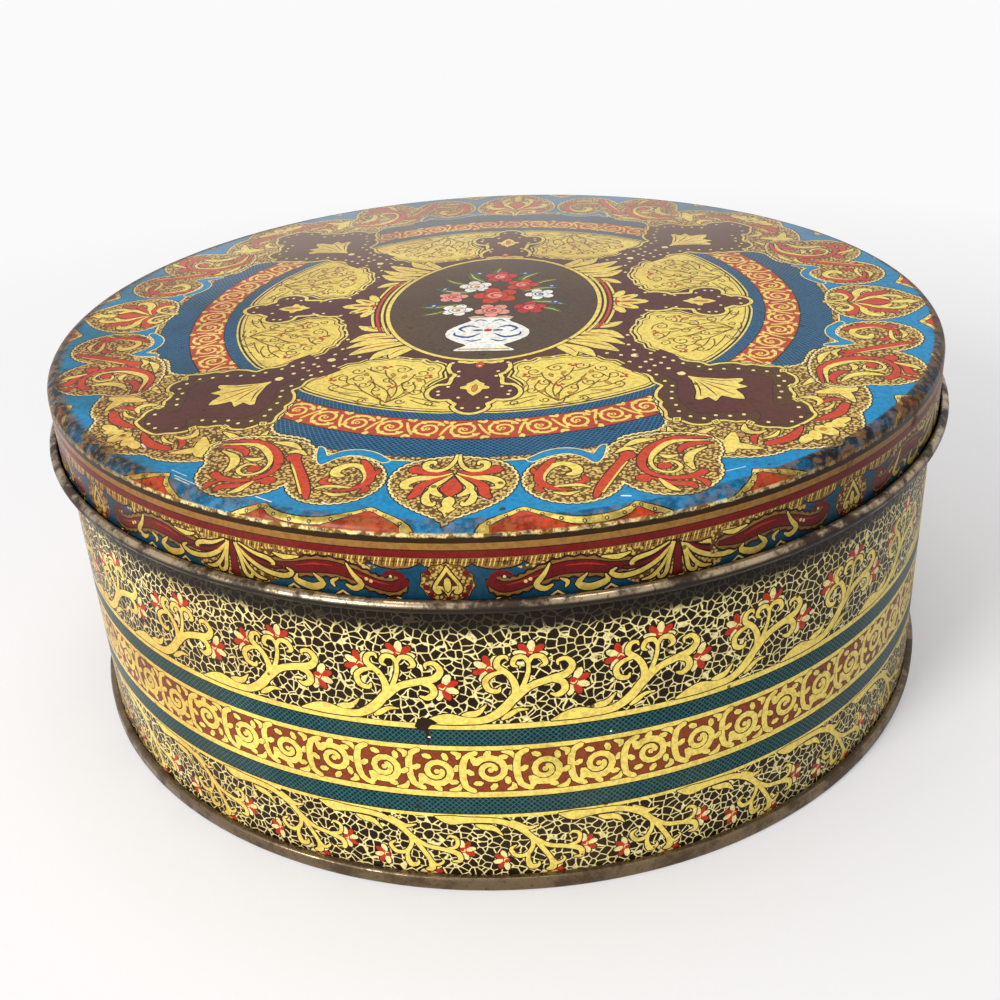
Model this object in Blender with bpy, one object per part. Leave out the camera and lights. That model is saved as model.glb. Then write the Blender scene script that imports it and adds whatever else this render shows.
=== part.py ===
"""Round slip-lid cake tin: a lid, a rolled body wall and a base joined by a double seam.

Metres, +Z up. The origin is the centre of the ring that the tin stands on.
"""

import math

import bmesh
import bpy

MM = 0.001

# Sheet metal and the gaps between pieces
TINPLATE = 0.28 * MM  # every piece is rolled or pressed from this sheet
SEAT_GAP = 0.30 * MM  # lid to body where the real lid sits down on the body's rolled rim
SEAM_GAP = 0.25 * MM  # between the folded layers of the bottom seam
LID_FIT = 0.62 * MM  # slip clearance between the body and the inside of the lid, all round

# Overall form
BODY_RADIUS = 101.9 * MM  # outside of the body wall
TIN_HEIGHT = 82.5 * MM  # floor to the top of the lid

# Lid
LID_DEPTH = 15.6 * MM  # top of the lid to the middle of its rolled edge
SHOULDER_RADIUS = 2.6 * MM  # outside of the bend between the top and the skirt
LID_CURL_RADIUS = 1.24 * MM  # outside of the rolled edge
LID_CURL_END = math.radians(116)  # where the rolled sheet stops, measured from straight out

# Body
BODY_CURL_RADIUS = 1.1 * MM  # outside of the rolled rim under the lid
BODY_CURL_END = math.radians(288)
SIDE_SEAM_WIDTH = 5.0 * MM
SIDE_SEAM_HEIGHT = 2 * TINPLATE  # how far the folded seam stands into the tin
SIDE_SEAM_MARGIN = 4.0 * MM  # plain wall between the side seam and the rim or the bottom seam
SIDE_SEAM_ROOT = TINPLATE / 2  # how deep the seam strip sinks into the wall that carries it
SIDE_SEAM_AZIMUTH = math.radians(90)  # straight back, away from the front of the print

# Base
SEAM_HEIGHT = 3.2 * MM
SEAM_CORNER = 0.6 * MM  # rounding of the outer corners of the seam
PANEL_RAISE = 3.3 * MM  # floor to the top of the base panel's outer ring
PANEL_STEP = 0.8 * MM  # how much higher the middle of the base panel stands
PANEL_RING_WIDTH = 7.0 * MM  # flat ring of the panel between the seam and the step
PANEL_STEP_WIDTH = 2.0 * MM

# Smoothness of the turned shapes
TURN_STEPS = 72
SEAM_STRIP_STEPS = 2
ROUND_STEPS = 4  # chords on a quarter bend
CURL_STEPS = 9  # chords round a rolled edge
MERGE = 0.001 * MM

# Places that follow from the sizes
LID_INSIDE = BODY_RADIUS + LID_FIT
LID_RADIUS = LID_INSIDE + TINPLATE
BODY_INSIDE = BODY_RADIUS - TINPLATE
HOOK_PITCH = TINPLATE + SEAM_GAP  # one folded layer of the bottom seam and the gap after it


def arc(centre, radius, start, end, steps):
    """Points (radius from the axis, height) on a round stretch, angles from straight out."""
    points = []
    for step in range(steps + 1):
        angle = start + (end - start) * step / steps
        points.append((centre[0] + radius * math.cos(angle), centre[1] + radius * math.sin(angle)))
    return points


def spin_outline(name, outline, angle=math.tau, start=0.0, steps=TURN_STEPS):
    """A solid turned about Z from a closed outline of (radius, height) points."""
    mesh = bmesh.new()
    turn_start = (math.cos(start), math.sin(start))
    loop = [mesh.verts.new((r * turn_start[0], r * turn_start[1], height)) for r, height in outline]
    edges = [mesh.edges.new((loop[i - 1], loop[i])) for i in range(len(loop))]
    whole_turn = math.isclose(angle, math.tau)
    geometry = loop + edges
    if not whole_turn:
        geometry.append(mesh.faces.new(loop))
    bmesh.ops.spin(
        mesh,
        geom=geometry,
        cent=(0, 0, 0),
        axis=(0, 0, 1),
        angle=angle,
        steps=steps,
        use_merge=whole_turn,
    )
    if not whole_turn:
        bmesh.ops.holes_fill(mesh, edges=[edge for edge in mesh.edges if edge.is_boundary])
    bmesh.ops.remove_doubles(mesh, verts=mesh.verts, dist=MERGE)
    bmesh.ops.dissolve_degenerate(mesh, edges=mesh.edges, dist=MERGE)
    bmesh.ops.recalc_face_normals(mesh, faces=mesh.faces)
    data = bpy.data.meshes.new(name)
    mesh.to_mesh(data)
    mesh.free()
    data.shade_smooth()
    data.set_sharp_from_angle(angle=math.radians(35))
    piece = bpy.data.objects.new(name, data)
    bpy.context.scene.collection.objects.link(piece)
    return piece


def metal(name, colour, roughness, metallic):
    """A finish for one piece."""
    made = bpy.data.materials.new(name)
    made.use_nodes = True
    shader = made.node_tree.nodes["Principled BSDF"]
    shader.inputs["Base Color"].default_value = (*colour, 1.0)
    shader.inputs["Roughness"].default_value = roughness
    shader.inputs["Metallic"].default_value = metallic
    return made


def lid_outline():
    """One drawn sheet: flat top, round shoulder, skirt and an edge rolled outwards."""
    shoulder = (LID_RADIUS - SHOULDER_RADIUS, TIN_HEIGHT - SHOULDER_RADIUS)
    curl = (LID_INSIDE + LID_CURL_RADIUS, TIN_HEIGHT - LID_DEPTH)
    curl_end = math.tau + LID_CURL_END
    underside = TIN_HEIGHT - TINPLATE
    return (
        [(0, TIN_HEIGHT)]
        + arc(shoulder, SHOULDER_RADIUS, math.pi / 2, 0, ROUND_STEPS)
        + arc(curl, LID_CURL_RADIUS - TINPLATE, math.pi, curl_end, CURL_STEPS)
        + arc(curl, LID_CURL_RADIUS, curl_end, math.pi, CURL_STEPS)
        + arc(shoulder, SHOULDER_RADIUS - TINPLATE, 0, math.pi / 2, ROUND_STEPS)
        + [(0, underside)]
    )


def body_rim_centre():
    """Middle of the body's rolled rim, which stops SEAT_GAP short of the lid's inner shoulder."""
    radius = BODY_RADIUS - BODY_CURL_RADIUS
    sideways = radius - (LID_RADIUS - SHOULDER_RADIUS)
    reach = SHOULDER_RADIUS - TINPLATE - SEAT_GAP - BODY_CURL_RADIUS
    upwards = math.sqrt(max(reach**2 - sideways**2, 0))
    return radius, TIN_HEIGHT - SHOULDER_RADIUS + upwards


def body_outline():
    """A rolled sheet: rim curled inwards at the top, hook turned outwards in the bottom seam."""
    rim = body_rim_centre()
    flange_bottom = HOOK_PITCH
    flange_top = flange_bottom + TINPLATE
    hook_inside = BODY_RADIUS + HOOK_PITCH + SEAM_GAP
    hook_outside = hook_inside + TINPLATE
    hook_top = SEAM_HEIGHT - HOOK_PITCH
    return (
        [
            (BODY_INSIDE, flange_bottom),
            (hook_outside, flange_bottom),
            (hook_outside, hook_top),
            (hook_inside, hook_top),
            (hook_inside, flange_top),
            (BODY_RADIUS, flange_top),
        ]
        + arc(rim, BODY_CURL_RADIUS, 0, BODY_CURL_END, CURL_STEPS)
        + arc(rim, BODY_CURL_RADIUS - TINPLATE, BODY_CURL_END, 0, CURL_STEPS)
    )


def base_outline():
    """One pressed sheet: stepped panel, wall down to the floor, and the seam folded round the hook."""
    wall_outside = BODY_INSIDE - SEAM_GAP
    wall_inside = wall_outside - TINPLATE
    hook_inside = BODY_RADIUS + SEAM_GAP
    hook_outside = hook_inside + TINPLATE
    seam_outside = hook_outside + 2 * HOOK_PITCH
    hook_bottom = 2 * HOOK_PITCH
    inner_corner = SEAM_CORNER - TINPLATE
    low_corner = (seam_outside - SEAM_CORNER, SEAM_CORNER)
    high_corner = (seam_outside - SEAM_CORNER, SEAM_HEIGHT - SEAM_CORNER)
    step_outside = wall_inside - PANEL_RING_WIDTH
    step_inside = step_outside - PANEL_STEP_WIDTH
    middle_top = PANEL_RAISE + PANEL_STEP
    return (
        [
            (0, middle_top),
            (step_inside, middle_top),
            (step_outside, PANEL_RAISE),
            (wall_outside, PANEL_RAISE),
            (wall_outside, TINPLATE),
        ]
        + arc(low_corner, inner_corner, -math.pi / 2, 0, ROUND_STEPS)
        + arc(high_corner, inner_corner, 0, math.pi / 2, ROUND_STEPS)
        + [
            (hook_outside, SEAM_HEIGHT - TINPLATE),
            (hook_outside, hook_bottom),
            (hook_inside, hook_bottom),
            (hook_inside, SEAM_HEIGHT),
        ]
        + arc(high_corner, SEAM_CORNER, math.pi / 2, 0, ROUND_STEPS)
        + arc(low_corner, SEAM_CORNER, 0, -math.pi / 2, ROUND_STEPS)
        + [
            (wall_inside, 0),
            (wall_inside, PANEL_RAISE - TINPLATE),
            (step_outside, PANEL_RAISE - TINPLATE),
            (step_inside, middle_top - TINPLATE),
            (0, middle_top - TINPLATE),
        ]
    )


def side_seam_strip():
    """The folded strip inside the wall where the ends of the body sheet lock together."""
    top = body_rim_centre()[1] - BODY_CURL_RADIUS - SIDE_SEAM_MARGIN
    bottom = PANEL_RAISE + SIDE_SEAM_MARGIN
    face = BODY_INSIDE - SIDE_SEAM_HEIGHT
    root = BODY_INSIDE + SIDE_SEAM_ROOT
    sweep = SIDE_SEAM_WIDTH / BODY_INSIDE
    outline = [
        (root, bottom),
        (root, top),
        (BODY_INSIDE, top),
        (face, top - SIDE_SEAM_HEIGHT),
        (face, bottom + SIDE_SEAM_HEIGHT),
        (BODY_INSIDE, bottom),
    ]
    start = SIDE_SEAM_AZIMUTH - sweep / 2
    return spin_outline("side_seam_form", outline, angle=sweep, start=start, steps=SEAM_STRIP_STEPS)


def join_solid(piece, addition):
    """Boolean union kept on the piece, with the added form left out of the build."""
    union = piece.modifiers.new("side_seam", "BOOLEAN")
    union.operation = "UNION"
    union.solver = "EXACT"
    union.object = addition
    addition.hide_render = True
    addition.display_type = "WIRE"


def main():
    for leftover in list(bpy.data.objects):
        bpy.data.objects.remove(leftover, do_unlink=True)

    lid = spin_outline("lid", lid_outline())
    lid.data.materials.append(metal("lid_print", (0.05, 0.30, 0.55), 0.28, 0.35))

    body_wall = spin_outline("body_wall", body_outline())
    body_wall.data.materials.append(metal("body_print", (0.72, 0.52, 0.14), 0.30, 0.45))
    join_solid(body_wall, side_seam_strip())

    base = spin_outline("base", base_outline())
    base.data.materials.append(metal("bare_tinplate", (0.46, 0.43, 0.38), 0.38, 0.85))


main()
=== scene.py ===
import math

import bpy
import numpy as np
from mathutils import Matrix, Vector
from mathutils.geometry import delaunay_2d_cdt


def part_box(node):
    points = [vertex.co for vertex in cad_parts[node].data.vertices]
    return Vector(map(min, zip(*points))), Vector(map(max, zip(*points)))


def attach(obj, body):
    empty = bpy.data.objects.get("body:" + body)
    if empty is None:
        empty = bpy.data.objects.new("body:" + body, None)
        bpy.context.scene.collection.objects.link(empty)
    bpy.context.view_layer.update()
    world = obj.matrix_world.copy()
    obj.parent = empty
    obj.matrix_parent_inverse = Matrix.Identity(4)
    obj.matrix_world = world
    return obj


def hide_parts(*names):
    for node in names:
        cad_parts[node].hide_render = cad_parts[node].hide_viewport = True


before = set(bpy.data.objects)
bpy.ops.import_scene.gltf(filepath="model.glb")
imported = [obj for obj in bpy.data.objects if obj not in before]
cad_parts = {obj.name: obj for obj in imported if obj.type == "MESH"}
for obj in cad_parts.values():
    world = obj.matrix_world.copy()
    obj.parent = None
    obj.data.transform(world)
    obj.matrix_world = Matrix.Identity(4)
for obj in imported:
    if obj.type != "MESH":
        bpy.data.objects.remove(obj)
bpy.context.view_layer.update()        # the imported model: bodies, nodes, joints and record

# %% [markdown]
# # Round slip-lid cake tin
#
# The real tin is three pieces of thin sheet steel: a lid, a rolled body wall and a pressed base.
# All its colour is printed on the flat sheet before the sheet is formed. The lesson follows that
# order: every print is drawn as outlines on a flat sheet, the sheet is cut into faces along those
# outlines, and then it is bent to the piece's shape.

MM = 0.001

# %% [markdown]
# ## Sizes
#
# The overall sizes are read from the frame. The sheet thickness and the bends are the sizes that
# the three pieces were designed with, in millimetres, because prints are easiest to draw so.

# %% Sizes of the three pieces
lid_low, lid_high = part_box("lid")
wall_low, wall_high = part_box("body_wall")
base_low, base_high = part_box("base")

TINPLATE = 0.28
SEAM_GAP = 0.25
SEAT_GAP = 0.30
LID_FIT = 0.62
SHOULDER = 2.6  # outside of the bend at the lid's edge
BODY_ROLL = 1.1  # outside radius of the body's rolled rim
SEAM_CORNER = 0.6
SEAM_TOP = 3.2
PANEL_RAISE = 3.3
PANEL_STEP = 0.8
PANEL_RING_WIDTH = 7.0
PANEL_STEP_WIDTH = 2.0
SIDE_SEAM_WIDTH = 5.0
SIDE_SEAM_MARGIN = 4.0

TOP = lid_high[2] / MM
WALL_R = 101.9  # outside of the body wall
LID_INSIDE = WALL_R + LID_FIT
LID_R = LID_INSIDE + TINPLATE
LID_ROLL = (lid_high[0] / MM - LID_INSIDE) / 2  # outside radius of the lid's rolled edge
ROLL_Z = lid_low[2] / MM + LID_ROLL
FLAT_R = LID_R - SHOULDER  # where the lid's flat top ends
print("lid radius", LID_R, "top", round(TOP, 2), "rolled edge at", round(ROLL_Z, 2))
print("outermost radius", round(lid_high[0] / MM, 3), "seam top", SEAM_TOP)
print("wall from", round(wall_low[2] / MM, 2), "to", round(wall_high[2] / MM, 2), "mm above the floor")
print("base from", round(base_low[2] / MM, 2), "to", round(base_high[2] / MM, 2), "mm above the floor")

# %% [markdown]
# ## Camera
#
# The photograph was taken from close by, a little above the tin, with the camera rolled slightly.
# The rims of the lid and base are circles of known size, so their ellipses in the photograph give
# the camera's place and focal length. The lens is given for a 36 mm wide sensor.

# %% Camera
CAMERA_AT = Vector((0.0, -283.08, 186.62)) * MM
LOOK_DOWN = math.radians(27.084)
LOOK_SIDEWAYS = math.radians(-0.054)
ROLL = math.radians(-3.096)
FOCAL_SHARE = 1.2524  # focal length as a share of the picture's width
SENSOR_WIDTH = 36.0
FRAME_DROP = -0.04  # how far the picture was cropped downwards, as a share of its width
NEAREST = 10 * MM


def camera_matrix():
    """Camera axes from the downward look, the sideways look and the roll."""
    ahead = Vector((math.sin(LOOK_SIDEWAYS) * math.cos(LOOK_DOWN),
                    math.cos(LOOK_SIDEWAYS) * math.cos(LOOK_DOWN), -math.sin(LOOK_DOWN)))
    right = Vector((math.cos(LOOK_SIDEWAYS), -math.sin(LOOK_SIDEWAYS), 0))
    up = right.cross(ahead)
    across = right * math.cos(ROLL) + up * math.sin(ROLL)
    upward = up * math.cos(ROLL) - right * math.sin(ROLL)
    turned_axes = Matrix((across, upward, -ahead)).transposed()
    return Matrix.Translation(CAMERA_AT) @ turned_axes.to_4x4()


def linked(name, data):
    """A new object, linked into the scene."""
    made = bpy.data.objects.new(name, data)
    bpy.context.scene.collection.objects.link(made)
    return made


scene = bpy.context.scene
camera = linked("camera", bpy.data.cameras.new("camera"))
camera.matrix_world = camera_matrix()
camera.data.sensor_width = SENSOR_WIDTH
camera.data.lens = SENSOR_WIDTH * FOCAL_SHARE
camera.data.shift_y = FRAME_DROP
camera.data.clip_start = NEAREST
scene.camera = camera
print("lens", round(camera.data.lens, 2), "mm")

# %% [markdown]
# ## Shader nodes
#
# Every finish on the tin is built from the same few nodes: noise, cells, smooth ramps and mixes.
# Written out in full they would bury what a finish is about, so this class gives each of them a
# short call. Places are compared in millimetres on the object, as the prints are drawn.

# %% Short calls for shader nodes


def linear(colour):
    """A colour read as 0 to 255 from the screen, as the linear numbers that shaders use."""
    result = []
    for value in colour:
        value /= 255
        result.append(value / 12.92 if value <= 0.04045 else ((value + 0.055) / 1.055) ** 2.4)
    return (*result, 1.0)


class Nodes:
    """Short calls for the nodes of one tree."""

    def __init__(self, tree):
        self.tree = tree

    def add(self, kind, **settings):
        prefix = "Node" if kind in ("GroupInput", "GroupOutput") else "ShaderNode"
        node = self.tree.nodes.new(prefix + kind)
        for key, value in settings.items():
            setattr(node, key, value)
        return node

    def feed(self, socket, value):
        if isinstance(value, bpy.types.NodeSocket):
            self.tree.links.new(value, socket)
        else:
            socket.default_value = value

    def fed(self, kind, *values, **settings):
        """A new node with its first sockets filled"""
        node = self.add(kind, **settings)
        for socket, value in zip(node.inputs, values):
            self.feed(socket, value)
        return node

    def math(self, operation, *values):
        return self.fed("Math", *values, operation=operation).outputs[0]

    def times(self, first, *others):
        for value in others:
            first = self.math("MULTIPLY", first, value)
        return first

    def ramp(self, value, low, high, to_low=0.0, to_high=1.0, kind="SMOOTHSTEP"):
        """value from low..high to to_low..to_high, smoothed and held at the ends"""
        return self.fed("MapRange", value, low, high, to_low, to_high, interpolation_type=kind).outputs[0]

    def zone(self, value, span, to_low=0.0, to_high=1.0):
        """A ramp whose span is a pair of millimetre places"""
        return self.ramp(value, span[0] * MM, span[1] * MM, to_low, to_high)

    def band(self, value, spans):
        """1 between the two middle millimetre places, falling to 0 at the two outer ones"""
        return self.times(self.zone(value, spans[:2]), self.zone(value, spans[2:], 1.0, 0.0))

    def above(self, value, place):
        return self.math("GREATER_THAN", value, place * MM)

    def below(self, value, place):
        return self.math("LESS_THAN", value, place * MM)

    def mix(self, factor, first, second, blend="MIX"):
        node = self.add("Mix", data_type="RGBA", blend_type=blend)
        for number, value in ((0, factor), (6, first), (7, second)):
            self.feed(node.inputs[number], value)
        return node.outputs[2]

    def noise(self, place, scale, detail=3.0, roughness=0.55):
        node = self.add("TexNoise")
        settings = {"Vector": place, "Scale": scale, "Detail": detail, "Roughness": roughness}
        for name, value in settings.items():
            self.feed(node.inputs[name], value)
        return node.outputs["Fac"]

    def cells(self, place, scale, feature="F1"):
        node = self.add("TexVoronoi", feature=feature)
        self.feed(node.inputs["Vector"], place)
        self.feed(node.inputs["Scale"], scale)
        return node

    def object_place(self):
        """Object coordinates: the whole vector, x, y and z"""
        place = self.add("TexCoord").outputs["Object"]
        return (place, *self.fed("SeparateXYZ", place).outputs)

    def from_axis(self, x, y):
        """Distance from the tin's axis"""
        return self.math("SQRT", self.math("ADD", self.times(x, x), self.times(y, y)))


print("the brightest screen colour is", linear((255, 255, 255))[:3], "to a shader")

# %% [markdown]
# ## Light and floor
#
# The photograph is a plain catalogue picture: white paper, soft light from above and from the
# front left. A broad lamp overhead and one at the left do that here, and the world fills the rest.
# The world shows white to the camera, a little less in what the tin mirrors, and much less as
# light. The paper glows to the camera only. Close by it is weak enough to keep the shadow, and
# further off it takes over, so the paper runs into the white background without an edge.

# %% Lamps
scene.view_settings.view_transform = "Standard"


def area_lamp(name, place, aim, size, watts):
    """A round soft lamp that faces its aim. Places are in metres."""
    lamp = linked(name, bpy.data.lights.new(name, "AREA"))
    lamp.data.energy = watts
    lamp.data.shape = "DISK"
    lamp.data.size = size
    lamp.location = place
    lamp.rotation_euler = (Vector(aim) - Vector(place)).to_track_quat("-Z", "Y").to_euler()


area_lamp("overhead_lamp", place=(-0.05, 0.05, 1.1), aim=(0, 0, 0.05), size=0.8, watts=4.6)
area_lamp("left_lamp", place=(-0.85, -0.90, 0.70), aim=(0, 0, 0.04), size=0.5, watts=18.5)

# %% World
WORLD_LIGHT = 0.30  # strength as light on the tin
WORLD_MIRRORED = 0.85  # strength in what the tin mirrors
WORLD_COLOUR = (0.965, 0.97, 1.0, 1.0)

world = bpy.data.worlds.new("white_room")
scene.world = world
world.use_nodes = True
make = Nodes(world.node_tree)
ray = make.add("LightPath").outputs
unseen = make.ramp(ray["Is Glossy Ray"], 0.0, 1.0, WORLD_LIGHT, WORLD_MIRRORED)
background = world.node_tree.nodes["Background"]
background.inputs["Color"].default_value = WORLD_COLOUR
make.feed(background.inputs["Strength"], make.ramp(ray["Is Camera Ray"], 0.0, 1.0, unseen, 1.0))
print("world gives", WORLD_LIGHT, "as light and 1.0 to the camera")

# %% Paper floor
PAPER_REACH = 2.5
PAPER_COLOUR = (0.835, 0.825, 0.825, 1)
GLOW_COLOUR = (0.965, 0.955, 0.96, 1)
GLOW_FROM, GLOW_TO = 0.14, 0.42  # metres from the tin's axis
GLOW_NEAR, GLOW_FAR = 0.36, 1.0  # share of the glow there

floor_mesh = bpy.data.meshes.new("paper")
paper_corners = [(x * PAPER_REACH, y * PAPER_REACH, 0) for x, y in ((-1, -1), (1, -1), (1, 1), (-1, 1))]
floor_mesh.from_pydata(paper_corners, [], [(0, 1, 2, 3)])
paper = linked("paper", floor_mesh)
paper_finish = bpy.data.materials.new("paper")
paper_finish.use_nodes = True
make = Nodes(paper_finish.node_tree)
paper_shader = paper_finish.node_tree.nodes["Principled BSDF"]
for name, value in (("Base Color", PAPER_COLOUR), ("Roughness", 0.9), ("Specular IOR Level", 0.1)):
    paper_shader.inputs[name].default_value = value
spot = make.add("NewGeometry").outputs["Position"]
away = make.fed("VectorMath", spot, operation="LENGTH")
share = make.ramp(away.outputs["Value"], GLOW_FROM, GLOW_TO, GLOW_NEAR, GLOW_FAR, "LINEAR")
to_eye = make.times(share, make.add("LightPath").outputs["Is Camera Ray"])
glow = make.fed("Emission", GLOW_COLOUR)
blend = make.fed("MixShader", to_eye, paper_shader.outputs[0], glow.outputs[0])
make.feed(paper_finish.node_tree.nodes["Material Output"].inputs["Surface"], blend.outputs[0])
floor_mesh.materials.append(paper_finish)
print("paper is", 2 * PAPER_REACH, "m wide")

# %% [markdown]
# ## Age and wear
#
# The whole sheet lies under one coat of varnish and has aged as one: it is unevenly faded, grimy and
# specked, and browner on the far and left parts of the lid. So all inks share one group of nodes,
# which also holds a painted sheen on the far side of the lid's top and the painted light at the lid's edge.
# Its noise is taken from the place on the object, and so it runs on unbroken from ink to ink.

# %% Fading, grime, specks, patina and a painted sheen
WEAR_AND_LIGHT = {name: linear(colour) for name, colour in {
    "faded": (226, 190, 110), "grime_and_shade": (48, 30, 16), "mottle": (120, 84, 44), "speck": (48, 30, 20),
    "patina": (186, 142, 96), "far_sheen": (212, 196, 176), "soil_and_dark_reflection": (26, 17, 10), "dust_and_dark_reflection": (112, 80, 40),
    "dark_reflection_line": (46, 30, 12), "rubbed_and_highlight": (242, 218, 150), "pitted": (122, 88, 34),
    "skirt_shade": (150, 134, 118), "wall_shadow": (24, 17, 12), "rust": (74, 46, 24),
}.items()}
LEFT_PART = (-95.0, -10.0)  # x from full patina to none
FAR_PART = (-30.0, 90.0)  # y from no patina to full
FAR_SHEEN_PART = (0.0, 98.0)
LID_TOP_FROM = 81.0


def sheet_wear(make, place, cloudy, colour):
    """Uneven fading, grime, a fine mottle and a few dark specks in each square centimetre."""
    colour = make.mix(make.ramp(cloudy, 0.40, 0.80, 0.0, 0.04), colour, WEAR_AND_LIGHT["faded"])
    grime_and_shade = make.ramp(make.noise(place, 95.0, 5.0, 0.65), 0.56, 0.82, 0.0, 0.42)
    colour = make.mix(grime_and_shade, colour, WEAR_AND_LIGHT["grime_and_shade"])
    mottle = make.ramp(make.noise(place, 1100.0, 2.0), 0.35, 0.75, 0.0, 0.35)
    colour = make.mix(mottle, colour, WEAR_AND_LIGHT["mottle"], "MULTIPLY")
    spots = make.cells(place, 420.0).outputs
    chosen = make.fed("SeparateColor", spots["Color"]).outputs
    near = make.math("LESS_THAN", spots["Distance"], make.times(chosen[1], 0.26))
    rare = make.math("GREATER_THAN", chosen[0], 0.86)
    return make.mix(make.times(near, rare, 0.8), colour, WEAR_AND_LIGHT["speck"])


def patina(make, place, x, y, z, colour):
    """Browning of the far and left parts, and a painted sheen that pales the far side of the lid's top."""
    where = make.math("MAXIMUM", make.zone(y, FAR_PART), make.zone(x, LEFT_PART, 1.0, 0.0))
    cloud = make.ramp(make.noise(place, 46.0, 5.0, 0.6), 0.36, 0.62, 0.10, 0.62)
    colour = make.mix(make.times(where, cloud), colour, WEAR_AND_LIGHT["patina"], "MULTIPLY")
    # painted sheen: the far side of the lid's top is mixed towards a pale colour, as if it mirrored the white
    # room
    far_sheen = make.times(make.zone(y, FAR_SHEEN_PART, 0.0, 0.30), make.above(z, LID_TOP_FROM))
    return make.mix(far_sheen, colour, WEAR_AND_LIGHT["far_sheen"])


print(len(WEAR_AND_LIGHT), "colours of wear")

# %% [markdown]
# A lid is worn most at its edge, where it is gripped and where tins are stacked. Dirt gathers just
# inside the bend, and there the bend is also painted dark as a reflection of the dark room. Lower on
# the bend the print is rubbed down to a pale broken line, which is also a painted highlight, and the
# dark line below it is a painted dark reflection. The skirt gets a painted shade that deepens towards
# the rolled edge, and the wall under the rolled edge a painted shadow. Each of these is a smooth band
# of height or distance from the axis, broken up by noise.

# %% Wear and painted light at the lid's edge
FRONT_PART = (74.0, 94.0)  # towards the viewer, where the edge is rubbed most and the painted highlight is strongest
EDGE_R = 100.6  # the bend's outer part starts here
SOIL_AND_REFLECTION_INNER = (100.0, 98.4)  # inner limit of the dirt and painted dark reflection at the right and at the left
SOIL_AND_REFLECTION_FROM = 79.9
DARK_REFLECTION_BAND = (78.9, 79.1, 79.8, 80.1)
PALE_LINE = (80.0, 80.3, 80.6, 81.0)
LINE_WANDER = 0.5
SKIRT_PART = (67.2, 78.8)
SKIRT_R = 102.2
SKIRT_SHADE = (69.0, 78.5)
UNDER_EDGE_SHADOW = (59.0, 62.0)
UNDER_EDGE_TOP = 67.8
UNDER_EDGE_WANDER = 4.0


def wandering(make, z, streak, reach):
    """Height that strays by up to half the reach, in millimetres."""
    return make.math("ADD", z, make.times(make.math("SUBTRACT", streak, 0.5), reach * MM))


def edge_wear_and_light(make, place, x, z, radius, front, streak, colour):
    """Dirt and a painted dark reflection round the top, a dark line that is a painted dark reflection, and
    the rubbed pale line that is also a painted highlight. Gives colour and line.
    """
    on_edge = make.above(radius, EDGE_R)
    leftward = make.zone(x, LEFT_PART, 1.0, 0.0)
    inner = make.ramp(leftward, 0.0, 1.0, SOIL_AND_REFLECTION_INNER[0] * MM, SOIL_AND_REFLECTION_INNER[1] * MM)
    # dirt and a painted dark reflection inside the bend and on it, weaker towards the viewer
    patches = make.ramp(make.noise(place, 230.0, 6.0, 0.75), 0.38, 0.54,
                        make.ramp(front, 0.0, 1.0, 0.70, 0.12), make.ramp(front, 0.0, 1.0, 0.98, 0.66))
    soil_and_reflection_share = make.times(make.ramp(radius, inner, EDGE_R * MM), make.above(z, SOIL_AND_REFLECTION_FROM), patches)
    soil_and_dark_reflection = make.mix(make.ramp(streak, 0.46, 0.58), WEAR_AND_LIGHT["soil_and_dark_reflection"], WEAR_AND_LIGHT["dust_and_dark_reflection"])
    colour = make.mix(soil_and_reflection_share, colour, soil_and_dark_reflection)
    height = wandering(make, z, streak, LINE_WANDER)
    # painted dark reflection: a dark band on the bend just below the pale line
    dark = make.times(make.band(height, DARK_REFLECTION_BAND), on_edge, 0.92)
    colour = make.mix(dark, colour, WEAR_AND_LIGHT["dark_reflection_line"])
    # the pale line is rubbed wear and also a painted highlight, strongest towards the viewer
    broken = make.times(make.ramp(front, 0.0, 1.0, 0.20, 1.0), make.ramp(streak, 0.36, 0.52, 0.30, 1.0))
    line = make.times(make.band(height, PALE_LINE), on_edge, broken)
    pitted = make.ramp(make.noise(place, 640.0, 4.0, 0.7), 0.42, 0.57)
    return make.mix(line, colour, make.mix(pitted, WEAR_AND_LIGHT["rubbed_and_highlight"], WEAR_AND_LIGHT["pitted"])), line


def skirt_shade_and_wall_shadow(make, z, radius, streak, colour):
    """Painted shade on the skirt, darker towards its rolled edge, and a painted shadow on the wall under that
    edge.
    """
    # painted shade: the skirt is darkened more and more towards its rolled edge
    within = make.times(make.above(z, SKIRT_PART[0]), make.below(z, SKIRT_PART[1]))
    shaded_skirt = make.times(within, make.above(radius, SKIRT_R), make.zone(z, SKIRT_SHADE, 0.66, 0.15))
    colour = make.mix(shaded_skirt, colour, WEAR_AND_LIGHT["skirt_shade"], "MULTIPLY")
    # painted shadow: the wall under the lid's rolled edge is mixed towards near black
    wall_shadow_share = make.zone(wandering(make, z, streak, UNDER_EDGE_WANDER), UNDER_EDGE_SHADOW)
    return make.mix(make.times(wall_shadow_share, make.below(z, UNDER_EDGE_TOP), 0.96), colour, WEAR_AND_LIGHT["wall_shadow"])


print("dark line from", DARK_REFLECTION_BAND[0], "to", DARK_REFLECTION_BAND[-1], "mm, pale line above it")

# %% [markdown]
# The group puts these layers on top of each other. Rust comes last: it creeps in from the edge of
# the top and down the skirt, roughens the varnish where it is, and stays off the rubbed front.

# %% The shared group of wear and painted light
RUST_HEIGHT = (68.0, 81.0)
RUST_RADIUS = (98.2, 101.5)


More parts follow.
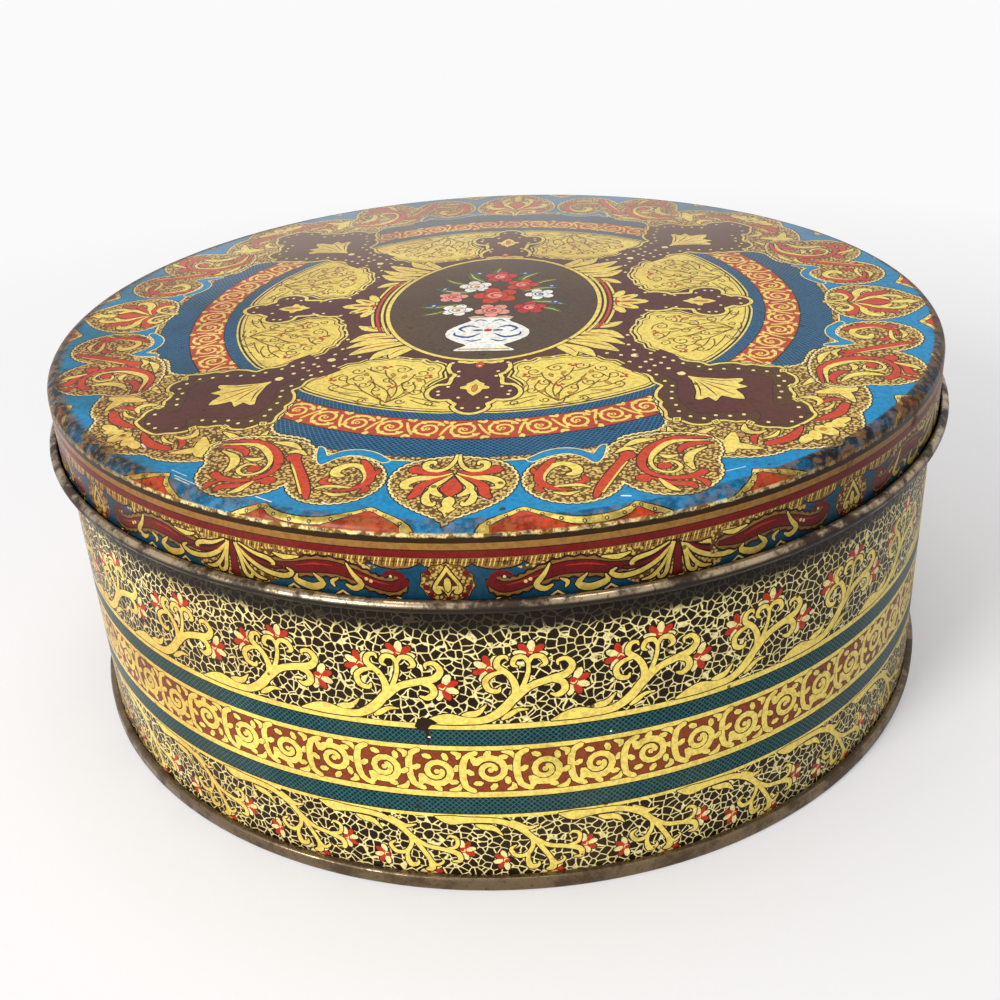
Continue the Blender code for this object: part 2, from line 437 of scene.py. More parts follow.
def wear_and_light_group():
    """Colour in, aged colour with its painted light and shade, roughness and metallic share out."""
    tree = bpy.data.node_groups.new("age_wear_and_painted_light", "ShaderNodeTree")
    tree.interface.new_socket("Color", in_out="INPUT", socket_type="NodeSocketColor")
    tree.interface.new_socket("Color", in_out="OUTPUT", socket_type="NodeSocketColor")
    tree.interface.new_socket("Roughness", in_out="OUTPUT", socket_type="NodeSocketFloat")
    tree.interface.new_socket("Metallic", in_out="OUTPUT", socket_type="NodeSocketFloat")
    make = Nodes(tree)
    place, x, y, z = make.object_place()
    radius = make.from_axis(x, y)
    cloudy = make.noise(place, 38.0, 4.0)
    streak = make.noise(place, 420.0, 6.0, 0.7)
    front = make.zone(make.math("SUBTRACT", make.times(y, -1.0), make.times(x, 0.1)), FRONT_PART)

    colour = sheet_wear(make, place, cloudy, make.add("GroupInput").outputs[0])
    colour = patina(make, place, x, y, z, colour)
    colour, line = edge_wear_and_light(make, place, x, z, radius, front, streak, colour)
    colour = skirt_shade_and_wall_shadow(make, z, radius, streak, colour)
    rust = make.times(make.zone(z, RUST_HEIGHT, 0.10, 1.0), make.zone(radius, RUST_RADIUS, 0.06, 1.0),
                      make.ramp(make.noise(place, 75.0, 7.0, 0.75), 0.56, 0.66),
                      make.ramp(front, 0.0, 1.0, 1.0, 0.20))
    roughness = make.math("ADD", make.ramp(cloudy, 0.3, 0.8, 0.26, 0.38), make.times(rust, 0.25))
    make.fed("GroupOutput", make.mix(rust, colour, WEAR_AND_LIGHT["rust"]), roughness, make.times(line, 0.35))
    return tree


wear_and_light = wear_and_light_group()
print("shared wear group has", len(wear_and_light.nodes), "nodes")

# %% [markdown]
# ## Inks
#
# The tin is printed with separate inks, each one flat colour, so each ink is one material whose
# colour goes through the shared group of wear and painted light. Golden inks have metal dust in them and
# shine a little.

# %% Plain inks
INKS = {
    "gold": (250, 224, 112), "cream": (250, 232, 158), "flame": (190, 54, 32), "line": (40, 24, 14),
    "rust": (138, 62, 34), "sky": (0, 138, 192), "plum": (88, 42, 36), "red": (206, 68, 42),
    "crimson": (120, 20, 22), "field": (248, 222, 106), "olive": (108, 78, 24), "amber": (200, 146, 52),
    "ground": (82, 62, 46), "white": (250, 248, 238), "navy": (28, 82, 140), "bud": (176, 76, 40),
    "peacock": (16, 80, 112), "leaf": (84, 102, 50), "rose": (200, 46, 50), "pink": (236, 160, 142),
    "brown": (84, 52, 24), "tan": (156, 112, 54), "brick": (186, 70, 42),
}
GOLDEN = ("gold", "field", "amber")
GOLDEN_METALLIC = 0.15
VARNISH_SPECULAR = 0.10


def ink(name, colour, pattern=None):
    """A printed ink. pattern takes the node helper and returns the colour that goes into the wear."""
    made = bpy.data.materials.new("ink_" + name)
    made.use_nodes = True
    make = Nodes(made.node_tree)
    shader = made.node_tree.nodes["Principled BSDF"]
    worn_and_lit = make.add("Group", node_tree=wear_and_light)
    make.feed(worn_and_lit.inputs[0], pattern(make) if pattern else linear(colour))
    make.feed(shader.inputs["Base Color"], worn_and_lit.outputs["Color"])
    make.feed(shader.inputs["Roughness"], worn_and_lit.outputs["Roughness"])
    make.feed(shader.inputs["Metallic"], GOLDEN_METALLIC if name in GOLDEN else worn_and_lit.outputs["Metallic"])
    shader.inputs["Specular IOR Level"].default_value = VARNISH_SPECULAR
    return made


materials = {name: ink(name, colour) for name, colour in INKS.items()}
print(len(materials), "plain inks")

# %% [markdown]
# Four inks carry a pattern too fine to draw: the crackled ground of the wall, the tiles of the wall
# and of the lid, and the stippled ground of the medallions. Those patterns are nodes in front of
# the group of wear and painted light. The cracks are the borders of Voronoi cells, bent a little by noise,
# and the tiles are two sets of slanting lines that cross.

# %% Patterned inks


def crackle(make):
    """Dark glaze broken by pale cracks into cells of 1 to 2 mm."""
    place = make.object_place()[0]
    jitter = make.add("TexNoise")
    make.feed(jitter.inputs["Vector"], place)
    make.feed(jitter.inputs["Scale"], 420.0)
    bent = make.fed("VectorMath", jitter.outputs["Color"], (0.9 * MM, 0.9 * MM, 0.9 * MM), place,
                    operation="MULTIPLY_ADD")
    cells = make.cells(bent.outputs[0], 600.0, "DISTANCE_TO_EDGE")
    crack = make.ramp(cells.outputs["Distance"], 0.040, 0.082, 1.0, 0.0)
    return make.mix(crack, linear((36, 22, 12)), linear((246, 230, 160)))


def lattice(make, around, rows, outwards, deep, pale, share=0.15):
    """Crossed slanting lines, around columns round the tin and rows in a metre up or outwards."""
    x, y, z = make.object_place()[1:]
    turn = make.times(make.math("ARCTAN2", x, y), around / math.tau)
    rise = make.times(make.from_axis(x, y) if outwards else z, rows)
    lines = [make.math("PINGPONG", make.math("ADD", turn, make.times(rise, sign)), 0.5) for sign in (1, -1)]
    line = make.ramp(make.math("MINIMUM", *lines), share * 0.6, share, 1.0, 0.0)
    return make.mix(line, linear(deep), linear(pale))


def wall_tiles(make):
    return lattice(make, 560, 870, False, (8, 36, 44), (44, 102, 104))


def lid_tiles(make):
    return lattice(make, 380, 820, True, (8, 46, 84), (38, 116, 152))


def stipple(make):
    """Brown ground peppered with gold dots."""
    cells = make.cells(make.object_place()[0], 1450.0)
    dot = make.ramp(cells.outputs["Distance"], 0.40, 0.56, 1.0, 0.0)
    return make.mix(dot, linear((104, 70, 32)), linear((226, 192, 104)))


PATTERNS = {"crackle": crackle, "tile": wall_tiles, "band": lid_tiles, "stipple": stipple}
materials |= {name: ink(name, None, pattern) for name, pattern in PATTERNS.items()}
print(len(materials), "inks with the patterned ones")

# %% [markdown]
# ## Bare tinplate
#
# The rolled edge of the lid, the seam at the bottom and the insides were never printed. The tin
# coating has gone dull and brown, and it is speckled where it broke. One metal shader with two
# scales of noise gives that. The lower half of the lid's rolled edge is painted black as shade, so it
# shines only on top, and the base is darker towards its bottom seam.

# %% Bare tinplate
ROLL_SHADE = (67.0, 67.6)  # heights between which the painted shade on the lid's rolled edge ends
ROLL_SHADE_FROM = 64.0
FOOT_DARKENING = (5.0, 30.0)
BUMP_DEPTH = 0.06


def tinplate(name, clean, stained, stain_from, stain_to, roughness, grime_and_shade=0.0):
    """Stained tin coating. The last number sets a painted shade on the lower half of the lid's rolled edge
    and how much darker the base is towards its bottom seam.
    """
    made = bpy.data.materials.new(name)
    made.use_nodes = True
    make = Nodes(made.node_tree)
    shader = made.node_tree.nodes["Principled BSDF"]
    place, _, _, z = make.object_place()
    stain = make.ramp(make.noise(place, 120.0, 8.0, 0.7), stain_from, stain_to)
    colour = make.mix(stain, linear(clean), linear(stained))
    pits = make.ramp(make.noise(place, 900.0, 4.0, 0.7), 0.58, 0.66)
    colour = make.mix(make.times(pits, 0.75), colour, linear((54, 38, 26)))
    # painted shade: the lower half of the lid's rolled edge is mixed towards near black
    low = make.times(make.zone(z, ROLL_SHADE, 1.0, 0.0), make.above(z, ROLL_SHADE_FROM), grime_and_shade)
    colour = make.mix(low, colour, linear((26, 18, 12)))
    # the base is made darker towards its bottom seam
    colour = make.mix(make.zone(z, FOOT_DARKENING, 0.75 * grime_and_shade, 0.0), colour, linear((84, 66, 42)))
    make.feed(shader.inputs["Base Color"], colour)
    make.feed(shader.inputs["Roughness"], make.ramp(stain, 0.0, 1.0, roughness, roughness + 0.25))
    make.feed(shader.inputs["Metallic"], make.ramp(stain, 0.0, 1.0, 0.9, 0.55))
    bump = make.add("Bump")
    bump.inputs["Distance"].default_value = BUMP_DEPTH * MM
    bump.inputs["Strength"].default_value = 0.5
    make.feed(bump.inputs["Height"], make.noise(place, 700.0, 4.0))
    make.feed(shader.inputs["Normal"], bump.outputs[0])
    return made


# the last number sets the painted shade on the rolled edge and the darkening of the bottom seam
materials["edge_metal"] = tinplate("edge_metal", (186, 166, 134), (54, 38, 24), 0.42, 0.58, 0.24, 0.95)
materials["inside_metal"] = tinplate("inside_metal", (190, 184, 168), (140, 122, 92), 0.50, 0.80, 0.32)
print("metals:", materials["edge_metal"].name, materials["inside_metal"].name)

# %% [markdown]
# ## Drawing with outlines
#
# The prints are vines, leaves, beads and medallions. A brush stroke is a smooth line through a few
# points, each with a width, and its outline is filled with one ink. Petals and beads are small
# ovals. A motif is a list of (ink, outline) pairs, painted in order like cut paper.

# %% Drawing helpers
POINT_SHARE = 0.42  # length of a stroke's pointed end, as a share of its width
MITRE_LIMIT = 1.6  # how far a grown corner may reach, as a multiple of the growth


def turned(point, degrees):
    """A point turned about the origin."""
    c, s = math.cos(math.radians(degrees)), math.sin(math.radians(degrees))
    return (point[0] * c - point[1] * s, point[0] * s + point[1] * c)


def smooth(points, steps=4, closed=False):
    """A Catmull-Rom line through the points, whose numbers may be more than two each."""
    count = len(points)
    result = []
    for i in range(count if closed else count - 1):
        if closed:
            a, b, c, d = (points[(i + k) % count] for k in (-1, 0, 1, 2))
        else:
            b, c = points[i], points[i + 1]
            a = points[i - 1] if i else tuple(2 * p - q for p, q in zip(b, c))
            d = points[i + 2] if i + 2 < count else tuple(2 * p - q for p, q in zip(c, b))
        for k in range(steps):
            t = k / steps
            result.append(tuple(
                0.5 * (2 * q + (r - p) * t + (2 * p - 5 * q + 4 * r - s) * t**2
                       + (3 * q - p - 3 * r + s) * t**3) for p, q, r, s in zip(a, b, c, d)))
    if not closed:
        result.append(tuple(points[-1]))
    return result


def beyond(start, end, distance):
    """The point that lies distance past end, seen from start."""
    dx, dy = end[0] - start[0], end[1] - start[1]
    length = math.hypot(dx, dy) or 1.0
    return (end[0] + dx / length * distance, end[1] + dy / length * distance)


def ribbon(path):
    """Outline of a stroke from (x, y, width) points, with pointed ends."""
    left, right = [], []
    for i, (x, y, width) in enumerate(path):
        before, after = path[max(i - 1, 0)], path[min(i + 1, len(path) - 1)]
        dx, dy = after[0] - before[0], after[1] - before[1]
        half = width / 2 / (math.hypot(dx, dy) or 1.0)
        left.append((x - dy * half, y + dx * half))
        right.append((x + dy * half, y - dx * half))
    tail = beyond(path[1], path[0], POINT_SHARE * path[0][2])
    tip = beyond(path[-2], path[-1], POINT_SHARE * path[-1][2])
    return [tail] + left + [tip] + right[::-1]


def brush(points, steps=3):
    """A smooth stroke through (x, y, width) points."""
    return ribbon(smooth(points, steps))


def disc(centre, radius, sides=10, squash=1.0, turn=0):
    """A circle, or an oval when squash isn't 1."""
    result = []
    for k in range(sides):
        angle = math.tau * k / sides
        x, y = turned((radius * math.cos(angle), radius * squash * math.sin(angle)), turn)
        result.append((centre[0] + x, centre[1] + y))
    return result


def whorl(centre, outer, inner, start, turn, widths, steps=18):
    """A spiral stroke drawn from its outer end inwards. Negative turn runs clockwise."""
    path = []
    for k in range(steps + 1):
        t = k / steps
        angle = math.radians(start + turn * t)
        radius = outer + (inner - outer) * t
        width = widths[0] + (widths[1] - widths[0]) * t
        path.append((centre[0] + radius * math.cos(angle), centre[1] + radius * math.sin(angle), width))
    return ribbon(path)


def petal(base, heading, length, width, sides=8):
    """A rounded petal that starts at its base."""
    angle = math.radians(heading)
    middle = (base[0] + length / 2 * math.cos(angle), base[1] + length / 2 * math.sin(angle))
    return disc(middle, length / 2, sides, width / length, heading)


def outset(outline, distance):
    """The outline grown by a distance, or shrunk by a negative one."""
    doubled = sum(a[0] * b[1] - b[0] * a[1] for a, b in zip(outline, outline[1:] + outline[:1]))
    distance = distance if doubled > 0 else -distance
    result = []
    for i, (x, y) in enumerate(outline):
        before, after = outline[i - 1], outline[(i + 1) % len(outline)]
        ax, ay = x - before[0], y - before[1]
        bx, by = after[0] - x, after[1] - y
        la, lb = math.hypot(ax, ay) or 1.0, math.hypot(bx, by) or 1.0
        nx, ny = ay / la + by / lb, -ax / la - bx / lb
        length = math.hypot(nx, ny)
        if length < 1e-6:
            nx, ny, length = ay / la, -ax / la, 1.0
        reach = distance * min(2 / length, MITRE_LIMIT) / length
        result.append((x + reach * nx, y + reach * ny))
    return result


def redrawn(motif, rule):
    """The motif with all its points moved by a rule, which takes x and y and gives the new point."""
    return [(name, [rule(x, y) for x, y in outline]) for name, outline in motif]


def placed(motif, at=(0, 0), turn=0, size=1.0):
    """The motif resized, turned and moved."""
    def place(x, y):
        x, y = turned((x * size, y * size), turn)
        return (x + at[0], y + at[1])
    return redrawn(motif, place)


def flipped(motif):
    """The mirror image across the y axis."""
    return redrawn(motif, lambda x, y: (-x, y))


def mirrored(motif):
    """The motif with its mirror image, layer by layer."""
    return [shape for pair in zip(motif, flipped(motif)) for shape in pair]


def edged(shapes, *edges):
    """The shapes over their own grown outlines, so that a group shares one edge."""
    result = []
    for name, distance in edges:
        result += [(name, outset(outline, distance)) for _, outline in shapes]
    return result + list(shapes)


def both(points):
    """Half an outline that starts and ends on the y axis, completed by its mirror image."""
    return points + [(-x, y) for x, y in points[::-1] if abs(x) > 1e-6]


def strokes(name, *paths):
    """One brush stroke for each path, all in one ink."""
    return [(name, brush(path)) for path in paths]


def dots(places, radius, name="cream"):
    return [(name, disc(place, radius, 7)) for place in places]


def on_sheet(motif, along, radius, reach):
    """A motif drawn as (mm along, height), moved along and laid on a sheet that is bent to a radius.

    reach gives the distance from the sheet's middle for a height.
    """
    def place(x, height):
        angle = (x + along) / radius
        return (reach(height) * math.sin(angle), -reach(height) * math.cos(angle))
    return redrawn(motif, place)


print("drawing helpers ready; a test stroke has", len(brush([(0, 0, 1), (5, 2, 2), (9, 0, 1)])), "points")

# %% [markdown]
# ## Cutting a printed sheet
#
# A texture would blur when the tin is seen close, and this tin has lines a fifth of a millimetre
# wide. So the print is part of the mesh: a constrained triangulation cuts the flat sheet along
# every outline, and each triangle gets the ink of the last outline that covers it. The sheet is
# drawn round its own centre, so a ring on it becomes a ring round the tin.

# %% Cut a sheet along its outlines
TOLERANCE = 0.003


def circle(radius, count):
    """Points of a circle from the front, which is -y, towards +x."""
    step = math.tau / count
    return [(radius * math.sin(step * k), -radius * math.cos(step * k)) for k in range(count)]


def covered(spots, outline):
    """Which spots lie within the outline, counted by its turns round each spot."""
    start, end = outline, np.roll(outline, -1, axis=0)
    x, y = spots[:, 0:1], spots[:, 1:2]
    side = (end[:, 0] - start[:, 0]) * (y - start[:, 1]) - (x - start[:, 0]) * (end[:, 1] - start[:, 1])
    upward = (start[:, 1] <= y) & (end[:, 1] > y) & (side > 0)
    downward = (start[:, 1] > y) & (end[:, 1] <= y) & (side < 0)
    return upward.sum(axis=1) != downward.sum(axis=1)


def cut_sheet(stripes, motifs, columns, rings, hole=0.0):
    """Triangles of a flat sheet and the ink of each.

    stripes are (ink, outer radius) from the outside in, motifs are (ink, outline) in the order of
    painting, and rings are radii that only get more points, for a good bend.
    """
    spots, edges = [], []
    borders = [circle(radius, columns) for _, radius in stripes] + [outline for _, outline in motifs]
    if hole:
        borders.append(circle(hole, columns))
    for border in borders:
        first, count = len(spots), len(border)
        spots += border
        edges += [(first + k, first + (k + 1) % count) for k in range(count)]
    for radius in rings:
        spots += circle(radius, columns)
    cut = delaunay_2d_cdt([Vector(spot) for spot in spots], edges, [], 0, TOLERANCE, False)
    corners = np.array([tuple(corner) for corner in cut[0]])
    triangles = np.array(cut[2])
    middles = corners[triangles].mean(axis=1)
    distance = np.hypot(middles[:, 0], middles[:, 1])
    triangles, middles, distance = (part[distance > hole] for part in (triangles, middles, distance))

    names = sorted({name for name, _ in stripes + motifs})
    inks = np.zeros(len(triangles), dtype=int)
    for name, radius in stripes:
        inks[distance < radius] = names.index(name)
    order = np.argsort(middles[:, 0])
    across = middles[order, 0]
    for name, outline in motifs:
        border = np.array(outline)
        low, high = border.min(axis=0), border.max(axis=0)
        first, last = np.searchsorted(across, (low[0], high[0]))
        near = order[first:last]
        near = near[(middles[near, 1] >= low[1]) & (middles[near, 1] <= high[1])]
        if len(near):
            inks[near[covered(middles[near], border)]] = names.index(name)
    print(len(motifs), "outlines,", len(spots), "points,", len(triangles), "triangles")
    return corners, triangles, [names[k] for k in inks]


# %% [markdown]
# ## Bending the sheet into a closed shell
#
# The bent sheet is only the outside. Turned rings with as many columns as the sheet's edge carry
# on from it round the rolled edges and along the inside, so that the piece is one closed skin
# with the true thickness of tinplate. Each vertex keeps the direction that the ideal surface has
# there, and the faces are shaded with it, so the many cuts of the print don't show in the gloss.

# %% Build a shell
RING_TOLERANCE = 0.01
FLAT_STRIP = (0.9, 1.0)  # heights of the flat map's strip that the turned rings take
FAN_RISE = 0.01  # how far the closing fan goes past that strip


def shifted_by_one(ring):
    return ring[1:] + ring[:1]


def ring_faces(a, b):
    """Faces between two rings of vertices, given by their numbers."""
    return list(zip(a, b, shifted_by_one(b), shifted_by_one(a)))


class Shell:
    """One closed piece: a printed sheet and the turned rings that complete it."""

    def __init__(self, columns):
        self.columns = columns
        self.points, self.normals, self.faces, self.inks, self.flat = [], [], [], [], []

    def add_sheet(self, cut, place, flatten):
        """place gives point and normal from (distance, angle) on the sheet, in mm."""
        corners, triangles, inks = cut
        self.reach = np.hypot(corners[:, 0], corners[:, 1])
        self.angle = np.arctan2(corners[:, 0], -corners[:, 1])
        spots, normals = place(self.reach, self.angle)
        self.used = used = np.unique(triangles)
        renumber = np.full(len(corners), -1)
        renumber[used] = np.arange(len(used))
        self.points += spots[used].tolist()
        self.normals += normals[used].tolist()
        self.faces += renumber[triangles].tolist()
        self.inks += inks
        self.flat += flatten(corners[triangles]).reshape(-1, 2).tolist()

    def sheet_ring(self, radius):
        """Vertices of the sheet that lie on one of its circles, in order round the tin."""
        on_ring = np.abs(self.reach[self.used] - radius) < RING_TOLERANCE
        numbers = np.nonzero(on_ring)[0]
        angles = np.mod(self.angle[self.used][numbers], math.tau)
        turns = np.round(angles / math.tau * self.columns).astype(int) % self.columns
        assert len(numbers) == self.columns == len(set(turns)), (len(numbers), len(set(turns)))
        return numbers[np.argsort(turns)].tolist()

    def new_ring(self, radius, height, normal):
        first = len(self.points)
        for k in range(self.columns):
            c, s = math.cos(math.tau * k / self.columns), math.sin(math.tau * k / self.columns)
            self.points.append((radius * s, -radius * c, height))
            self.normals.append((normal[0] * s, -normal[0] * c, normal[1]))
        return list(range(first, first + self.columns))

    def turn(self, profile, material, start, end=None):
        """Rings along a profile of (radius, height), the open side at its left.

        start and end are rings of the sheet where the profile begins and ends. Without an end the
        last ring is closed by a fan to the axis.
        """
        lengths = [math.dist(a, b) for a, b in zip(profile, profile[1:])]
        total = sum(lengths)
        foot, head = FLAT_STRIP
        rings = []
        for i, (radius, height) in enumerate(profile):
            before, after = profile[max(i - 1, 0)], profile[min(i + 1, len(profile) - 1)]
            dr, dz = after[0] - before[0], after[1] - before[1]
            size = math.hypot(dr, dz) or 1.0
            if i == 0:
                rings.append(start)
            elif i == len(profile) - 1 and end:
                rings.append(end)
            else:
                rings.append(self.new_ring(radius, height, (-dz / size, dr / size)))
        sides = [(k / self.columns, (k + 1) / self.columns) for k in range(self.columns)]
        walked = 0.0
        for i, length in enumerate(lengths):
            low = foot + (head - foot) * walked / total
            walked += length
            high = foot + (head - foot) * walked / total
            self.faces += ring_faces(rings[i], rings[i + 1])
            for left, right in sides:
                self.flat += [(left, low), (left, high), (right, high), (right, low)]
        if not end:
            self.points.append((0, 0, profile[-1][1]))
            self.normals.append((0, 0, -1))
            tip = len(self.points) - 1
            self.faces += [(a, tip, b) for a, b in zip(rings[-1], shifted_by_one(rings[-1]))]
            for left, right in sides:
                self.flat += [(left, head), (left, head + FAN_RISE), (right, head)]
        self.inks += [material] * (len(self.faces) - len(self.inks))

    def build(self, name):
        """The finished object, in metres, with one material slot for each ink."""
        mesh = bpy.data.meshes.new(name)
        mesh.from_pydata([[value * MM for value in point] for point in self.points], [], self.faces)
        slots = sorted(set(self.inks))
        for slot in slots:
            mesh.materials.append(materials[slot])
        numbers = {slot: k for k, slot in enumerate(slots)}
        mesh.polygons.foreach_set("material_index", [numbers[slot] for slot in self.inks])
        flat_map = mesh.uv_layers.new(name="OFBake")
        flat_map.data.foreach_set("uv", np.array(self.flat, dtype=np.float32).ravel())
        mesh.shade_smooth()
        mesh.normals_split_custom_set_from_vertices(self.normals)
        mesh.update()
        print(name, "has", len(mesh.polygons), "faces in", len(slots), "finishes")
        return linked(name, mesh)


def bend(centre, radius, start, end, steps):
    """(radius, height) points on a round bend, angles in degrees from straight out."""
    points = []
    for k in range(steps + 1):
        angle = math.radians(start + (end - start) * k / steps)
        points.append((centre[0] + radius * math.cos(angle), centre[1] + radius * math.sin(angle)))
    return points

# %% [markdown]
# ## The wall's print
#
# Flowering scrolls spring from a gold line on a crackled dark ground. Below them run a blue tile
# band, a band of curled rosettes, a second tile band and a lower crackled field with hanging
# scrolls. The same scroll is printed 27 times round the tin, so it is drawn once and repeated.

# %% Flowers and scrolls of the wall


def blossom(size=1.0):
    """Half-open flower that points along +x."""
    fan = ((-84, "cream"), (-44, "flame"), (0, "cream"), (44, "flame"), (84, "cream"))
    petals = [(name, petal(turned((0.5, 0), a), a, 2.75, 1.5)) for a, name in fan]
    heart = [("flame", disc((0, 0), 0.9, 8))]
    shine = strokes("cream", [(-0.45, -0.35, 0.15), (0.3, -0.4, 0.35), (0.55, 0.35, 0.1)])
    return placed(edged(petals + heart, ("line", 0.28)) + shine, size=size)


SPRAY_ROOT = [
    [(-17.4, 0.15, 0.3), (-14.8, 0.85, 1.8), (-12.2, 1.15, 2.5), (-9, 0.8, 1.6), (-5.5, 1.15, 1.6),
     (-2.4, 3.2, 1.9), (0, 6.2, 1.7)],
]
SPRAY_LEFT = [
    [(-0.2, 5.4, 1.2), (0.1, 8.4, 1.35), (-1.0, 11, 1.15), (-3.0, 12.9, 1.2), (-2.6, 14.6, 1.0),
     (-1.4, 14.9, 0.7), (-1.0, 14.1, 0.3)],
    [(-1.6, 11.6, 0.5), (-3.6, 11.3, 0.9), (-5.2, 9.9, 1.1), (-4.8, 7.9, 1.1), (-3.1, 7.4, 0.9),
     (-2.6, 8.3, 0.3)],
]
SPRAY_MIDDLE = [
    [(0.1, 6.0, 1.0), (1.5, 8.4, 0.95), (2.5, 11.4, 0.8), (2.6, 14.0, 0.7)],
    [(2.6, 13.2, 0.6), (1.9, 14.6, 0.9), (0.4, 14.6, 1.0), (-0.2, 13.2, 0.85), (0.6, 12.6, 0.3)],
    [(2.6, 13.2, 0.6), (3.4, 14.6, 0.9), (5.0, 14.5, 1.1), (5.7, 13.0, 0.95), (4.7, 12.4, 0.3)],
]
SPRAY_RIGHT = [
    [(-0.2, 5.2, 1.1), (2.6, 8.1, 1.4), (6.2, 9.4, 1.5), (9.2, 10.2, 1.5), (10.5, 12.0, 1.25),
     (9.4, 13.6, 0.95), (7.9, 13.3, 0.7), (7.9, 12.4, 0.3)],
    [(6.6, 9.3, 0.9), (8.6, 8.6, 1.3), (9.0, 6.9, 1.35), (7.7, 5.8, 1.1), (6.4, 6.2, 0.4)],
]
SPRAY_LEAVES = [
    [(-9.8, 2.2, 0.5), (-8.6, 2.3, 1.3), (-6.9, 2.7, 1.15), (-5.3, 4.5, 0.2)],
    [(-2.6, 1.1, 0.5), (-1.4, 1.9, 1.1), (0.3, 3.0, 0.8), (2.2, 3.1, 0.25)],
]
SPRAY_FLOWERS = [((-4.3, 12.3), 150), ((3.0, 15.0), 84), ((10.6, 8.4), -22)]  # place and heading


def scroll(paths, edge, flowers, size=1.0):
    """Gold stems with a dark edge, over the flowers that they carry."""
    shapes = []
    for at, heading in flowers:
        shapes += placed(blossom(size), at, heading)
    return shapes + edged(strokes("gold", *paths), ("line", edge))


def spray():
    """Scroll that springs up and to the right from the gold line at y = 0."""
    paths = SPRAY_ROOT + SPRAY_LEFT + SPRAY_MIDDLE + SPRAY_RIGHT + SPRAY_LEAVES
    return scroll(paths, 0.24, SPRAY_FLOWERS)


HANGING_PATHS = [
    [(-17.4, -0.1, 0.3), (-14.6, -0.8, 2.2), (-11.5, -0.7, 1.5), (-8, -0.7, 1.3), (-4.6, -1.2, 1.3),
     (-1.2, -3.0, 1.3), (1.2, -5.6, 1.2)],
    [(1.0, -5.0, 0.9), (1.1, -7.6, 0.85), (-0.2, -9.7, 0.9), (-2.2, -9.9, 0.95), (-3.2, -8.2, 0.8),
     (-2.1, -7.2, 0.3)],
    [(0.4, -9.0, 0.5), (0.0, -11, 0.9), (0.6, -12.9, 1.3), (2.0, -12.6, 0.8), (2.2, -11.7, 0.3)],
    [(1.2, -5.4, 1.0), (3.0, -8.4, 1.0), (4.6, -11.4, 1.0), (4.8, -13.4, 1.5), (3.7, -13.9, 0.7)],
    [(4.6, -11.0, 0.4), (5.8, -12.6, 0.7), (7.2, -11.6, 0.5), (6.8, -10.8, 0.2)],
    [(1.0, -5.2, 0.9), (4.0, -7.6, 1.0), (7.4, -8.4, 1.0), (10.2, -9.4, 1.2), (10.5, -11.2, 0.95),
     (9.0, -11.4, 0.3)],
    [(7.8, -8.3, 0.6), (9.9, -7.6, 0.8), (10.2, -5.6, 0.8), (8.9, -4.9, 0.6), (8.2, -5.6, 0.25)],
    [(-9.6, -1.9, 0.5), (-8.2, -2.4, 1.3), (-6.2, -2.8, 1.2), (-4.6, -4.6, 0.2)],
    [(-2.8, -1.0, 0.5), (-1.4, -2.0, 1.0), (0.4, -3.0, 0.9), (2.4, -2.4, 0.2)],
]
HANGING_FLOWERS = [((-4.2, -11.0), 190), ((4.4, -13.6), -60), ((11.2, -8.4), 12)]


def hanging_spray():
    """The same kind of scroll, lower and wider, hanging from the gold line at y = 0."""
    return scroll(HANGING_PATHS, 0.22, HANGING_FLOWERS, 0.82)


ROSETTE_KINDS = [  # hand, shift upwards, start and turn of the curl in degrees, number of leaves
    (1, -0.2, 200, 540, 7), (-1, 0.2, 150, 500, 8), (1, 0, 215, 570, 6),
]


def rosette(kind):
    """Curled leaf scroll of the running band, about 9 mm high, centred on (0, 0)."""
    hand, shift, start, turn, count = ROSETTE_KINDS[kind]
    gold = [whorl((0, shift), 3.3, 0.95, start, hand * turn, (1.5, 1.0))]
    for k in range(count):
        angle = k * 360 / count + 20 * kind
        x, y = turned((3.3, 0), angle)
        gold.append(petal((x, y + shift), angle + hand * 58, 2.1, 1.35, 6))
    gold.append(disc((0, shift), 0.62, 6))
    for path in ([(-3.2, 4.8, 1.1), (-4.9, 3.6, 1.3), (-5.3, 0, 1.4), (-4.6, -3.2, 1.3), (-2.6, -4.4, 1.1)],
                 [(3.0, 4.5, 0.5), (4.3, 3.9, 1.3), (4.0, 2.9, 0.5)],
                 [(2.2, -4.6, 0.4), (3.9, -4.3, 1.2), (4.5, -3.0, 0.4)]):
        gold.append(brush([(x, y * hand, width) for x, y, width in path], 2))
    return edged([("gold", outline) for outline in gold], ("line", 0.14))


print("one spray has", sum(len(outline) for _, outline in spray()), "points, a rosette",
      sum(len(outline) for _, outline in rosette(0)))

# %% [markdown]
# The wall's sheet is a ring with the tin's top at its inner edge. Distances along the wall are
# millimetres of arc from the front, to the right, and heights are millimetres from the floor.

# %% Wall sheet
WALL_COLUMNS = 350
WALL_HOLE = 60.0
PRINT_TOP = 67.6
PRINT_FOOT = 1.0
UPPER_LINE, LOWER_LINE = 40.0, 17.7
WALL_STRIPES = [  # ink and lower edge, from the foot up
    ("crackle", PRINT_FOOT), ("gold", 17.6), ("line", 18.4), ("tile", 18.6), ("line", 22.5),
    ("gold", 22.7), ("line", 24.0), ("rust", 24.15), ("line", 33.75), ("gold", 33.9), ("line", 34.95),
    ("tile", 35.1), ("line", 38.6), ("gold", 38.8), ("line", 40.0), ("crackle", 40.12),
]
SPRAYS = 27
SPRAY_SHIFT, HANGING_SHIFT = 0.3, 1.1
ROSETTES = 63
ROSETTE_FIRST = -5.0
ROSETTE_HEIGHT = 29
CHIP_TURN = -9.4  # degrees from the front
WALL_RING_FROM, WALL_RING_STEP = 5.0, 2.2
wall_round = math.tau * WALL_R


